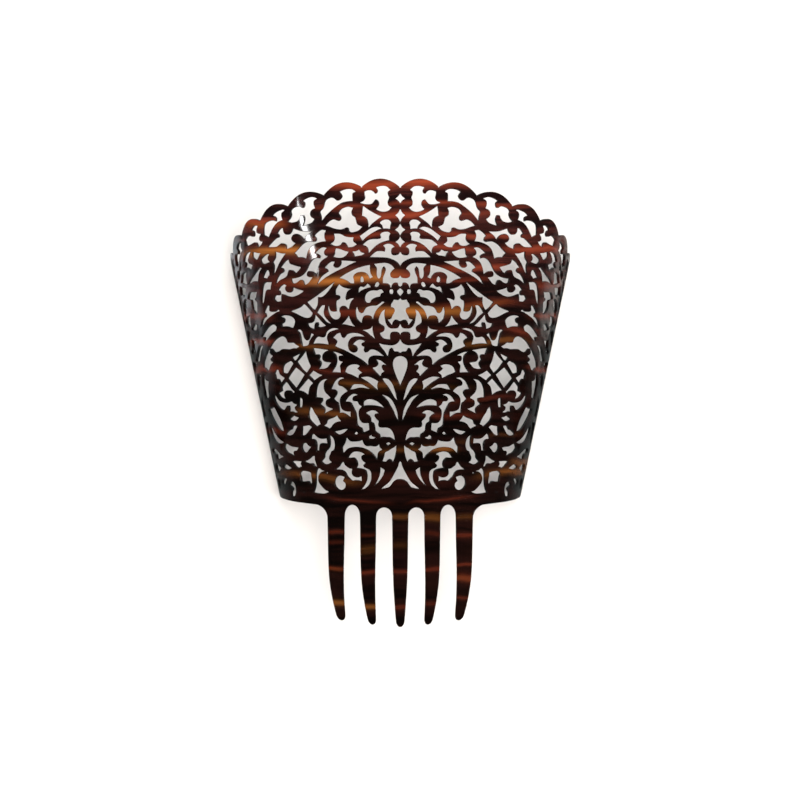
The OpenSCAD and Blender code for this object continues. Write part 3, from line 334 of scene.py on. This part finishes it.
def thinned(loop):
    """The loop without the points that lie on a straight line between others."""
    points = flat(loop)
    start = int(np.argmax(np.linalg.norm(points - points.mean(axis=0), axis=1)))
    loop, points = np.roll(loop, -start, axis=0), np.roll(points, -start, axis=0)
    far = int(np.argmax(np.linalg.norm(points - points[0], axis=1)))
    count = len(points)
    keep, spans = {0, far}, [(0, far), (far, count)]
    while spans:
        a, b = spans.pop()
        if b - a < 2:
            continue
        p, q = points[a], points[b % count]
        along = (q - p) / max(np.linalg.norm(q - p), NO_LENGTH)
        away = points[a + 1:b] - p
        off = np.abs(away[:, 0] * along[1] - away[:, 1] * along[0])
        worst = int(np.argmax(off))
        if off[worst] > STRAIGHT_WITHIN:
            keep.add(a + 1 + worst)
            spans += [(a, a + 1 + worst), (a + 1 + worst, b)]
    return loop[sorted(keep)]


def turning(points):
    """How far the closed line turns at each point, in degrees."""
    before = points - np.roll(points, 1, axis=0)
    after = np.roll(points, -1, axis=0) - points
    cross = before[:, 0] * after[:, 1] - before[:, 1] * after[:, 0]
    return np.degrees(np.arctan2(cross, (before * after).sum(axis=1)))


def smoothed(loop):
    """A smooth line through the loop's points that stays sharp at its corners."""
    points = flat(loop)
    sharp = np.abs(turning(points)) > CORNER_DEGREES
    step = np.linalg.norm(np.roll(points, -1, axis=0) - points, axis=1)
    last = np.roll(step, 1)
    tangent = (np.roll(points, -1, axis=0) - np.roll(points, 1, axis=0)) / (step + last)[:, None]
    out = []
    for k in range(len(points)):
        m = (k + 1) % len(points)
        p, q, run = points[k], points[m], step[k]
        chord = (q - p) / run
        a = chord if sharp[k] else tangent[k]
        b = chord if sharp[m] else tangent[m]
        for s in np.arange(0, 1, 1 / max(1, round(run / EDGE_STEP))):
            out.append(
                p * (2 * s**3 - 3 * s**2 + 1) + q * (3 * s**2 - 2 * s**3)
                + run * (a * (s**3 - 2 * s**2 + s) + b * (s**3 - s**2))
            )
    out = np.array(out)
    return np.stack([out[:, 0] / outer_radius(out[:, 1]), out[:, 1]], axis=1)


def signed_area(loop):
    x, y = flat(loop).T
    return (x * np.roll(y, -1) - y * np.roll(x, -1)).sum() / 2


def window_loop(outline, side):
    """A charted window as (turn, y) points, on the right (1) or the left (-1)."""
    rows = np.array(outline, float)
    turn = side * np.radians(rows[:, 0] * DEGREES_ACROSS)
    return np.stack([turn, height(rows[:, 0], rows[:, 1])], axis=1)


def directed(loop, outer):
    """The loop turned so that the sheet lies on its left."""
    return loop if (signed_area(loop) > 0) == outer else loop[::-1]


def inward(loop):
    """Unit vectors into the sheet at each point, and how much longer an even inset is at corners."""
    points = flat(loop)
    ahead = np.roll(points, -1, axis=0) - points
    ahead /= np.linalg.norm(ahead, axis=1)[:, None]
    both = ahead + np.roll(ahead, 1, axis=0)
    both /= np.maximum(np.linalg.norm(both, axis=1), FOLDED_BACK)[:, None]
    stretch = 1 / np.maximum((both * ahead).sum(axis=1), LEAST_CORNER)
    return np.stack([-both[:, 1], both[:, 0]], axis=1), stretch


def wall_turn(loop, outer):
    """The angle from the wall's cut to the sheet's own normal, at each point."""
    turn = loop[:, 0]
    if not outer:
        return turn - WALL_LEAN * (turn.min() + turn.max()) / 2
    teeth = (loop[:, 1] < TEETH_BELOW) & (np.abs(turn) < TEETH_WITHIN)
    return np.where(teeth, turn, 0)


def placed(turn, y, depth):
    """Points of the sheet in the row frame, in metres. Depth is counted from the outer face."""
    radius = outer_radius(y) - depth
    return np.stack([radius * np.sin(turn), y - MIDDLE_Y, radius * np.cos(turn)], axis=1) / MM


def sheet_normals(turn):
    tilt = math.atan(FLARE)
    out = math.cos(tilt)
    down = np.full_like(turn, -math.sin(tilt))
    return np.stack([out * np.sin(turn), down, out * np.cos(turn)], axis=1)


def wall_normals(loop, into, lean):
    """Normals of the cut wall, which faces away from the sheet."""
    turn = loop[:, 0]
    level = np.zeros_like(turn)
    tilt = math.atan(FLARE)
    out = math.sin(tilt)
    rise = np.full_like(turn, math.cos(tilt))
    across = np.stack([np.cos(turn), level, -np.sin(turn)], axis=1)
    up = np.stack([out * np.sin(turn), rise, out * np.cos(turn)], axis=1)
    wall = -(into[:, :1] * across + into[:, 1:] * up)
    cut = np.stack([np.sin(turn - lean), level, np.cos(turn - lean)], axis=1)
    wall -= (wall * cut).sum(axis=1)[:, None] * cut
    return wall / np.linalg.norm(wall, axis=1)[:, None]


def rings_of(loop, outer):
    """The loop's rings from the front face to the back: (turn, y, depth, normals) each."""
    into, stretch = inward(loop)
    lean = wall_turn(loop, outer)
    wall = wall_normals(loop, into, lean)
    face = sheet_normals(loop[:, 0])
    rings = []
    for inset, deep, from_back, share in RINGS:
        edge = BACK_EDGE if from_back else FRONT_EDGE
        depth = SHEET - deep * edge if from_back else deep * edge
        reach = inset * edge * stretch
        y = loop[:, 1] + into[:, 1] * reach
        turn = loop[:, 0] + (into[:, 0] * reach + np.tan(lean) * depth) / outer_radius(loop[:, 1])
        normal = (1 - share) * (-face if from_back else face) + share * wall
        normal /= np.linalg.norm(normal, axis=1)[:, None]
        rings.append((turn, y, np.full_like(turn, depth), normal))
    return rings


def field_points(loops):
    """Points spread over the sheet, clear of its edges, so that its curve stays smooth."""
    edge_points = [point for loop in loops for point in loop]
    tree = kdtree.KDTree(len(edge_points))
    for k, (turn, y) in enumerate(edge_points):
        tree.insert((turn * PLANE_RADIUS, y, 0), k)
    tree.balance()
    half = PLANE_RADIUS * math.pi / 2
    points = []
    for row, y in enumerate(np.arange(-TOOTH_LENGTH, LOBE_TOP, FIELD_STEP * FIELD_ROW_SHARE)):
        for x in np.arange(-half + (row % 2) * FIELD_STEP / 2, half, FIELD_STEP):
            if tree.find((x, y, 0))[2] > FIELD_GAP:
                points.append((x, y))
    return points


def face_triangles(loops, rows, extra):
    """Triangles between the loops: their points, the given point that each one was, and the triples."""
    points = [Vector((turn * PLANE_RADIUS, y)) for turn, y in rows]
    points += [Vector(p) for p in extra]
    outlines, start = [], 0
    for loop in loops:
        run = list(range(start, start + len(loop)))
        outlines.append(run[::-1] if outlines else run)
        start += len(loop)
    made = geometry.delaunay_2d_cdt(points, [], outlines, INSIDE_ONLY, PLANE_WELD, True)
    verts, _, triples, old_verts, _, old_faces = made
    kept = [triple for triple, owners in zip(triples, old_faces) if list(owners) == [0]]
    return verts, old_verts, kept


class SheetMesh:
    """Collects the points, normals and faces of the dressed sheet."""

    def __init__(self):
        self.points, self.normals, self.faces = [], [], []

    def add(self, turn, y, depth, normals):
        start = sum(len(p) for p in self.points)
        self.points.append(placed(turn, y, depth))
        self.normals.append(normals)
        return start

    def drop_unused(self):
        """Leaves out the points that no face uses."""
        points, normals = np.concatenate(self.points), np.concatenate(self.normals)
        used = np.zeros(len(points), bool)
        used[[k for face in self.faces for k in face]] = True
        place = np.cumsum(used) - 1
        self.points, self.normals = [points[used]], [normals[used]]
        self.faces = [tuple(int(place[k]) for k in face) for face in self.faces]

    def object(self, name):
        mesh = bpy.data.meshes.new(name)
        mesh.from_pydata(np.concatenate(self.points).tolist(), [], self.faces)
        mesh.polygons.foreach_set("use_smooth", [True] * len(mesh.polygons))
        mesh.normals_split_custom_set_from_vertices(np.concatenate(self.normals).tolist())
        obj = bpy.data.objects.new(name, mesh)
        bpy.context.scene.collection.objects.link(obj)
        return obj


def add_walls(sheet, loops):
    """The rounded edges and cut walls of all loops. Returns each loop's front and back ring."""
    front, back = [], []
    for k, loop in enumerate(loops):
        rings = rings_of(loop, k == 0)
        starts = [sheet.add(*ring) for ring in rings]
        count = len(loop)
        for upper, lower in zip(starts, starts[1:]):
            for i in range(count):
                m = (i + 1) % count
                sheet.faces.append((upper + i, lower + i, lower + m, upper + m))
        front.append((rings[0], starts[0]))
        back.append((rings[-1], starts[-1]))
    return front, back


def add_face(sheet, loops, rings, extra, from_back):
    """The front or back face, which shares its outline with the walls."""
    rows = np.concatenate([np.stack(ring[:2], axis=1) for ring, _ in rings])
    index = np.concatenate([start + np.arange(len(ring[0])) for ring, start in rings])
    verts, old_verts, triples = face_triangles(loops, rows, extra)
    turn = np.array([v[0] / PLANE_RADIUS for v in verts])
    y = np.array([v[1] for v in verts])
    normals = sheet_normals(turn) * (-1 if from_back else 1)
    depth = np.full_like(turn, SHEET if from_back else 0.0)
    start = sheet.add(turn, y, depth, normals)
    shared = [
        index[min(old)] if len(old) and min(old) < len(index) else start + k
        for k, old in enumerate(old_verts)
    ]
    for triple in triples:
        corners = [int(shared[k]) for k in triple]
        if len(set(corners)) == 3:
            sheet.faces.append(tuple(corners[::-1] if from_back else corners))


def sheet_loops(node):
    """All edge lines of the sheet: the outline first, then the windows."""
    loops = [smoothed(thinned(loop)) for loop in front_loops(node)]
    loops.sort(key=lambda loop: -abs(signed_area(loop)))
    loops += [smoothed(window_loop(row, side)) for row in SMALL_WINDOWS for side in (-1, 1)]
    return [directed(loop, k == 0) for k, loop in enumerate(loops)]


def comb_sheet(node):
    """The whole comb as one smooth sheet, from the CAD solid's edge lines and the small windows."""
    loops = sheet_loops(node)
    sheet = SheetMesh()
    extra = field_points(loops)
    front, back = add_walls(sheet, loops)
    add_face(sheet, loops, front, extra, False)
    add_face(sheet, loops, back, extra, True)
    sheet.drop_unused()
    return sheet.object("comb_sheet")


# Sockets of the colour Mix node, whose names repeat for each type of data
MIX_SHARE, MIX_A, MIX_B, MIX_RESULT = 0, 6, 7, 2


def add_node(tree, kind, settings=None, inputs=None):
    """A new node with its settings, then values or links at its sockets, by name or number."""
    node = tree.nodes.new(kind)
    for key, value in (settings or {}).items():
        setattr(node, key, value)
    for key, value in (inputs or {}).items():
        slot = node.inputs[key]
        if isinstance(value, Value):
            tree.links.new(value.socket, slot)
        else:
            slot.default_value = value
    return node


class Value:
    """A socket of a node tree that can be reckoned with."""

    def __init__(self, tree, socket):
        self.tree, self.socket = tree, socket

    def math(self, operation, *others):
        values = dict(enumerate((self, *others)))
        node = add_node(self.tree, "ShaderNodeMath", {"operation": operation}, values)
        return Value(self.tree, node.outputs[0])

    def __add__(self, other):
        return self.math("ADD", other)

    def __sub__(self, other):
        return self.math("SUBTRACT", other)

    def __mul__(self, other):
        return self.math("MULTIPLY", other)

    def __truediv__(self, other):
        return self.math("DIVIDE", other)

    def __rsub__(self, other):
        return (self * -1.0) + other

    def __rtruediv__(self, other):
        return self.math("POWER", -1.0) * other

    __radd__, __rmul__ = __add__, __mul__

    def clamp(self):
        return self.math("MINIMUM", 1.0).math("MAXIMUM", 0.0)

    def between(self, low, high):
        """0 at low and beyond it, 1 at high and beyond it, and smooth between."""
        limits = {"Value": self, "From Min": low, "From Max": high}
        node = add_node(self.tree, "ShaderNodeMapRange", {"interpolation_type": "SMOOTHSTEP"}, limits)
        return Value(self.tree, node.outputs["Result"])


class Shader:
    """A new material's node tree with short ways to make its nodes."""

    def __init__(self, name):
        self.material = bpy.data.materials.new(name)
        self.material.use_nodes = True
        self.tree = self.material.node_tree
        self.surface = self.tree.nodes["Principled BSDF"]

    def place(self):
        """The point in mm as three values: across, up from the base edge, and out."""
        coords = add_node(self.tree, "ShaderNodeTexCoord")
        point = Value(self.tree, coords.outputs["Object"])
        parts = add_node(self.tree, "ShaderNodeSeparateXYZ", inputs={"Vector": point})
        x, y, z = (Value(self.tree, parts.outputs[k]) * float(MM) for k in range(3))
        return x, y + MIDDLE_Y, z

    def noise(self, x, y, z, kind):
        """Noise at a point, of a kind given as three scales, the detail and the roughness."""
        scale_x, scale_y, scale_z, detail, roughness = kind
        point = {"X": x * scale_x, "Y": y * scale_y, "Z": z * scale_z}
        joined = Value(self.tree, add_node(self.tree, "ShaderNodeCombineXYZ", inputs=point).outputs[0])
        inputs = {"Vector": joined, "Scale": 1.0, "Detail": detail, "Roughness": roughness}
        return Value(self.tree, add_node(self.tree, "ShaderNodeTexNoise", inputs=inputs).outputs[0])

    def mixed(self, share, a, b):
        """Colour a where the share is 0, and colour b where it is 1."""
        a, b = (value if isinstance(value, Value) else (*value, 1.0) for value in (a, b))
        inputs = {MIX_SHARE: share, MIX_A: a, MIX_B: b}
        node = add_node(self.tree, "ShaderNodeMix", {"data_type": "RGBA"}, inputs)
        return Value(self.tree, node.outputs[MIX_RESULT])

    def into(self, name, value):
        self.tree.links.new(value.socket, self.surface.inputs[name])

    def set(self, **inputs):
        for key, value in inputs.items():
            self.surface.inputs[key.replace("_", " ")].default_value = value


# Colours of the sheet as linear red, green and blue. The ground is lighter towards the crest
NIGHT = (0.0016, 0.0007, 0.0005)
DUSK = (0.0070, 0.0026, 0.0026)
LOW_MAROON = (0.0085, 0.0024, 0.0018)
CREST_MAROON = (0.052, 0.0125, 0.0100)
RED = (0.260, 0.040, 0.016)
AMBER = (0.340, 0.109, 0.020)
# Streaks of the sheet, charted: [across, up, half length, half width, rise at the
# right end, strength], in mm from the middle of the base edge
DARK_STREAKS = [
    (-25, 152.5, 26, 2.0, 0, 0.80),
    (32, 153.0, 26, 2.0, 0, 0.75),
    (0, 138.0, 26, 1.8, 0, 0.75),
    (40, 138.5, 22, 1.8, 0, 0.60),
    (-58, 145.5, 12, 2.2, 0, 0.70),
    (-4, 121.5, 36, 1.9, 0, 0.85),
    (-60, 119.0, 14, 2.6, 0, 0.70),
    (-6, 106.0, 40, 2.6, 0, 0.65),
    (44, 107.0, 18, 2.0, 0, 0.50),
    (0, 91.5, 16, 2.4, 0, 0.85),
    (-56, 100.0, 14, 2.4, 0, 0.50),
]
RED_STREAKS = [
    (-17, 159.0, 20, 2.6, 0, 0.80),
    (18, 159.2, 24, 2.6, 0, 0.90),
    (-29, 147.6, 14, 1.2, 1.5, 0.38),
    (26, 148.3, 34, 1.2, -0.5, 0.42),
    (0, 142.8, 19, 1.9, 0, 0.66),
    (34, 143.5, 14, 1.2, 1.0, 0.30),
    (-68, 139.6, 12, 1.9, -1.0, 0.66),
    (-24, 132.6, 18, 1.4, 2.2, 0.46),
    (38, 133.4, 25, 1.2, 0, 0.44),
    (16, 127.5, 24, 1.4, 0, 0.42),
    (-28, 126.5, 14, 1.4, 0, 0.26),
    (65, 127.0, 14, 2.2, 0, 0.50),
    (34, 117.4, 23, 1.5, 1.0, 0.52),
    (1, 113.5, 9, 2.4, 0, 0.40),
    (26, 112.0, 20, 1.4, 0, 0.20),
    (-54, 110.0, 9, 1.9, 0, 0.28),
    (-24, 95.0, 16, 1.9, 0, 0.24),
    (36, 99.4, 21, 1.5, 1.5, 0.24),
    (8, 87.0, 24, 1.2, 0, 0.08),
    (60, 86.0, 8, 1.8, 0, 0.18),
    (-71, 94.0, 8, 1.5, 0, 0.30),
    (72, 94.0, 8, 1.5, 0, 0.30),
    (72, 110.5, 7, 1.8, 0, 0.26),
    (-70, 81.0, 10, 1.5, 0, 0.28),
    (-66, 67.0, 9, 1.7, 0, 0.24),
    (-30, 67.6, 20, 1.3, 1.0, 0.12),
    (70, 68.0, 7, 1.5, 0, 0.26),
    (36, 53.0, 20, 1.2, 3.0, 0.09),
    (28, 45.2, 16, 1.3, 0, 0.14),
    (-64, 38.0, 8, 1.6, 0, 0.16),
    (4, 14.0, 20, 2.4, 0, 0.05),
    (-20, 3.6, 15, 0.8, -3.0, 0.09),
    (20, 3.6, 15, 0.8, 3.0, 0.12),
    (-33, -11.0, 7, 0.9, 0, 0.16),
    (-33, -16.0, 7, 1.0, 0, 0.08),
    (-33, -29.8, 7, 1.1, 0, 0.24),
    (-16, -12.9, 7, 0.8, 0, 0.12),
    (-16, -32.0, 7, 1.2, 0, 0.16),
    (0, -31.6, 7, 1.2, 0, 0.14),
    (0, -48.9, 7, 1.2, 0, 0.14),
    (16, -12.8, 7, 1.0, 0, 0.12),
    (16, -30.8, 7, 1.2, 0, 0.18),
    (16, -46.9, 7, 1.0, 0, 0.11),
    (32, -13.7, 7, 1.2, 1.0, 0.16),
    (32, -28.2, 7, 0.9, 1.0, 0.18),
    (32, -34.8, 7, 1.8, 0, 0.22),
    (32, -44.0, 7, 0.8, 0, 0.12),
]
AMBER_STREAKS = [
    (-60, 125.8, 16, 1.7, 1.5, 0.74),
    (-66, 138.6, 9, 1.2, 0, 0.26),
    (-28, 111.8, 20, 1.9, 1.0, 0.78),
    (-14, 114.0, 14, 2.2, 0, 0.34),
    (3, 96.0, 18, 2.2, 0, 0.70),
    (24, 96.5, 10, 1.8, 0, 0.50),
    (38, 99.0, 14, 1.4, 2.0, 0.12),
    (45, 80.2, 17, 1.4, 2.5, 0.20),
    (-40, 78.6, 16, 1.2, -0.8, 0.17),
    (-16, 61.0, 16, 1.5, -1.0, 0.16),
    (12, 59.0, 22, 1.0, 1.0, 0.06),
    (-38, 46.6, 14, 1.6, -3.0, 0.15),
    (42, 34.0, 18, 1.0, 5.0, 0.05),
    (2, 28.0, 18, 1.3, 0, 0.10),
    (19, 28.6, 8, 1.4, 0, 0.33),
    (-38, 14.6, 18, 1.6, -4.0, 0.16),
    (54, 17.8, 15, 1.6, 6.0, 0.22),
    (62, 22.8, 7, 1.7, 1.0, 0.26),
    (0, -4.3, 7, 1.4, 0, 0.12),
    (16, -5.0, 7, 1.7, 0, 0.17),
    (32, -4.4, 7, 1.3, 1.5, 0.08),
    (-16, -20.3, 7, 2.0, 0, 0.10),
    (0, -19.0, 7, 2.0, 0, 0.05),
    (-33, -30.0, 7, 1.0, 0, 0.06),
    (32, -35.0, 7, 1.4, 0, 0.06),
    (-33, -46.6, 8, 1.3, 0, 0.27),
    (-16, -48.6, 8, 1.3, 0, 0.27),
]

# Noise in the sheet: [scale across, scale up, scale out, detail, roughness], scales per mm
DRIFT_NOISE = (0.03, 0.02, 0.03, 1.0, 0.5)
RIPPLE_NOISE = (0.10, 0.05, 0.08, 1.0, 0.5)
CLOUD_NOISE = (0.014, 0.10, 0.014, 3.0, 0.6)
FINE_NOISE = (0.020, 0.42, 0.020, 2.0, 0.6)

# How far the streaks wander up and down, in mm
DRIFT_REACH = 5.0
RIPPLE_REACH = 2.0

# The crest's lighter ground starts and is full at these heights, in mm
CREST_FADE = (62.0, 152.0)

# Clouds are broad noise with nearly as much fine noise, dark to maroon between these levels
CLOUD_SHARE = 0.55
FINE_SHARE = 0.45
CLOUD_EDGES = (0.42, 0.60)

# The fine noise also breaks up the streaks and the polish: [gain, least]
STREAK_GRAIN = (1.3, 0.33)
POLISH_GRAIN = (0.04, 0.035)
SHEET_IOR = 1.49

# Floor: half its side and its drop in metres, then its colour and finish
FLOOR_HALF = 12.0
FLOOR_DROP = 0.0003
FLOOR_WHITE = (0.81, 0.768, 0.738)
FLOOR_ROUGHNESS = 0.8
FLOOR_GLOSS = 0.2

# Right card beside the crest end, in metres: from near to far across, and from low to high
CARD_NEAR, CARD_FAR = 0.085, 0.15
CARD_LOW, CARD_HIGH = -0.03, 0.13

# The cards' patchy light: its noise in a slice, the levels that it fades between, its gain and
# least, and the heights and distances across, in mm, that it fades between
CARD_NOISE = (0.05, 0.16, 1.0, 2.0, 0.5)
CARD_SLICE = 0.5
CARD_PATCHES = (0.35, 0.62)
CARD_GAIN, CARD_LEAST = 0.8, 0.2
CARD_RISE = (40.0, 90.0)
CARD_FADE = (150.0, 100.0)

# The room's light is stronger low down: [gain, least], between two heights of the direction
ROOM_STRENGTH = (0.12, 0.02)
ROOM_LOW = (-0.35, -0.95)
ROOM_COLOUR = (0.90, 1.0, 0.98, 1.0)

# Area lights, in metres and watts. The streak light makes the bright line on the crest's left
SIDE_LIGHT = {"aim": (0, -0.08, 0), "size": (0.5, 1.4), "power": 36, "along": (0, 0, 1), "mirrored": False}
LIGHTS = {
    "overhead": {
        "place": (0.35, 0.1, 2.2), "aim": (0, 0, 0), "size": (1.4, 1.4), "power": 50,
        "colour": (1, 0.975, 0.95),
    },
    "crest_side": {
        "place": (0.0, 1.5, 0.75), "aim": (0, 0.05, 0), "size": (1.6, 0.5), "power": 9,
        "colour": (0.78, 0.95, 1),
    },
    "side_1": {"place": (-1.6, -0.2, 0.7), **SIDE_LIGHT},
    "side_3": {"place": (1.6, -0.2, 0.7), **SIDE_LIGHT},
    "streak": {
        "place": (-0.448, -0.0756, 0.2525), "aim": (-0.046, 0.085, 0.073), "size": (0.092, 0.009),
        "power": 0.11, "along": (0.0426, -0.035, 0.0671),
    },
}

# Camera, in metres, with the sensor in mm. The picture shows the frame's width at the height of
# the front plane
CAMERA_X, CAMERA_Y, CAMERA_Z = -0.0001, 0.0016, 12.0
FRONT_PLANE = 0.07
FRAME_WIDTH = 0.3912
SENSOR_MM = 36.0
CLIP_NEAR, CLIP_FAR = 1.0, 40.0


def streaks(shader, x, y, rows):
    """How strongly a point lies in any of the streaks, 0 to 1."""
    most = None
    for across, up, length, width, rise, strength in rows:
        along = (x - across) / length
        off = (y - up - along * (rise / 2)) / width
        spread = (along * along * along * along + off * off) * -1.0
        value = spread.math("EXPONENT") * strength
        most = value if most is None else most.math("MAXIMUM", value)
    return most


def grained(noise, grain):
    gain, least = grain
    return noise * gain + least


def wandering(shader, x, y, z):
    """The height in the sheet with the streaks' slow waves added."""
    drift = shader.noise(x, y, z, DRIFT_NOISE) * DRIFT_REACH - DRIFT_REACH / 2
    ripple = shader.noise(x, y, z, RIPPLE_NOISE) * RIPPLE_REACH - RIPPLE_REACH / 2
    return y + drift + ripple


def clouded_ground(shader, x, y, level, cloud, fine):
    """The dark sheet under the streaks: maroon clouds, with dark streaks across them."""
    crest = y.between(*CREST_FADE)
    band = (cloud * CLOUD_SHARE + fine * FINE_SHARE).between(*CLOUD_EDGES)
    ground = shader.mixed(
        band,
        shader.mixed(crest, NIGHT, DUSK),
        shader.mixed(crest, LOW_MAROON, CREST_MAROON),
    )
    dark = streaks(shader, x, level, DARK_STREAKS)
    return shader.mixed(dark, ground, shader.mixed(crest, NIGHT, DUSK))


def tortoiseshell():
    """Polished dark sheet with cloudy maroon bands, and red and amber streaks."""
    shader = Shader("tortoiseshell")
    x, y, z = shader.place()
    level = wandering(shader, x, y, z)
    cloud = shader.noise(x, level, z, CLOUD_NOISE)
    fine = shader.noise(x, level, z, FINE_NOISE)
    ground = clouded_ground(shader, x, y, level, cloud, fine)
    grain = grained(fine, STREAK_GRAIN)
    red = streaks(shader, x, level, RED_STREAKS) * grain
    amber = streaks(shader, x, level, AMBER_STREAKS) * grain
    colour = shader.mixed(red.clamp(), ground, RED)
    colour = shader.mixed(amber.clamp(), colour, AMBER)
    shader.into("Base Color", colour)
    shader.into("Roughness", grained(fine, POLISH_GRAIN))
    shader.set(IOR=SHEET_IOR, Coat_Weight=0.0)
    return shader.material


def floor_white():
    shader = Shader("floor_white")
    shader.set(
        Base_Color=(*FLOOR_WHITE, 1.0), Roughness=FLOOR_ROUGHNESS, Specular_IOR_Level=FLOOR_GLOSS,
    )
    return shader.material


def dressed_comb():
    obj = comb_sheet(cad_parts["comb"])
    obj.data.materials.append(tortoiseshell())
    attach(obj, "root")
    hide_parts("comb")


def stage_quad(name, corners, material, order=(0, 1, 2, 3)):
    """A flat four-cornered piece of the stage."""
    mesh = bpy.data.meshes.new(name)
    mesh.from_pydata(corners, [], [order])
    mesh.materials.append(material)
    obj = bpy.data.objects.new(name, mesh)
    bpy.context.scene.collection.objects.link(obj)
    return obj


def floor():
    half = FLOOR_HALF
    corners = [(-half, -half, 0), (half, -half, 0), (half, half, 0), (-half, half, 0)]
    obj = stage_quad("floor", corners, floor_white())
    obj.location.z = -FLOOR_DROP
    obj.visible_glossy = False


def card(name, side, strength, colour):
    """A pale card beside the crest end that only the steep side of the sheet mirrors."""
    shader = Shader(name)
    x, y, _ = shader.place()
    patches = shader.noise(x, y, CARD_SLICE, CARD_NOISE).between(*CARD_PATCHES)
    patches = patches * CARD_GAIN + CARD_LEAST
    share = patches * y.between(*CARD_RISE) * (x * side).between(*CARD_FADE)
    shader.into("Emission Color", shader.mixed(share, (0, 0, 0), colour))
    shader.set(Base_Color=(0, 0, 0, 1), Specular_IOR_Level=0.0, Emission_Strength=strength)
    near, far = CARD_NEAR * side, CARD_FAR * side
    corners = [(near, CARD_LOW, 0), (far, CARD_LOW, 0), (far, CARD_HIGH, 0), (near, CARD_HIGH, 0)]
    obj = stage_quad(name, corners, shader.material, (0, 1, 2, 3)[::side])
    obj.visible_camera = obj.visible_diffuse = obj.visible_shadow = obj.visible_transmission = False


def area_light(name, place, aim, size, power, colour=(1, 1, 1), along=(1, 0, 0), mirrored=True):
    """A rectangle that shines from place to aim, with its first side turned along a direction."""
    data = bpy.data.lights.new(name, "AREA")
    data.shape = "RECTANGLE"
    data.size, data.size_y = size
    data.energy = power
    data.color = colour
    back = (Vector(place) - Vector(aim)).normalized()
    up = back.cross(Vector(along)).normalized()
    turned = Matrix((up.cross(back), up, back)).transposed().to_4x4()
    obj = bpy.data.objects.new(name, data)
    obj.matrix_world = Matrix.Translation(place) @ turned
    obj.visible_glossy = mirrored
    bpy.context.scene.collection.objects.link(obj)


def room():
    """A dark room that is paler low down, which the steep sides of the sheet mirror."""
    world = bpy.data.worlds.new("studio")
    world.use_nodes = True
    tree = world.node_tree
    coords = add_node(tree, "ShaderNodeTexCoord")
    direction = Value(tree, coords.outputs["Generated"])
    parts = add_node(tree, "ShaderNodeSeparateXYZ", inputs={"Vector": direction})
    strength = grained(Value(tree, parts.outputs["Z"]).between(*ROOM_LOW), ROOM_STRENGTH)
    background = tree.nodes["Background"]
    tree.links.new(strength.socket, background.inputs["Strength"])
    background.inputs["Color"].default_value = ROOM_COLOUR
    return world


def lights():
    for name, settings in LIGHTS.items():
        area_light(name, **settings)
    bpy.context.scene.world = room()


def camera():
    """Looks straight down on the front through a long lens."""
    data = bpy.data.cameras.new("camera")
    data.sensor_width = SENSOR_MM
    data.lens = SENSOR_MM * (CAMERA_Z - FRONT_PLANE) / FRAME_WIDTH
    data.clip_start, data.clip_end = CLIP_NEAR, CLIP_FAR
    obj = bpy.data.objects.new("camera", data)
    obj.location = (CAMERA_X, CAMERA_Y, CAMERA_Z)
    bpy.context.scene.collection.objects.link(obj)
    bpy.context.scene.camera = obj


def look():
    view = bpy.context.scene.view_settings
    view.view_transform = "Standard"
    view.look = "None"


camera()
dressed_comb()
floor()
card("card_left", -1, 1.0, (0.86, 0.95, 1.0))
card("card_right", 1, 0.7, (1.0, 0.96, 0.90))
lights()
look()
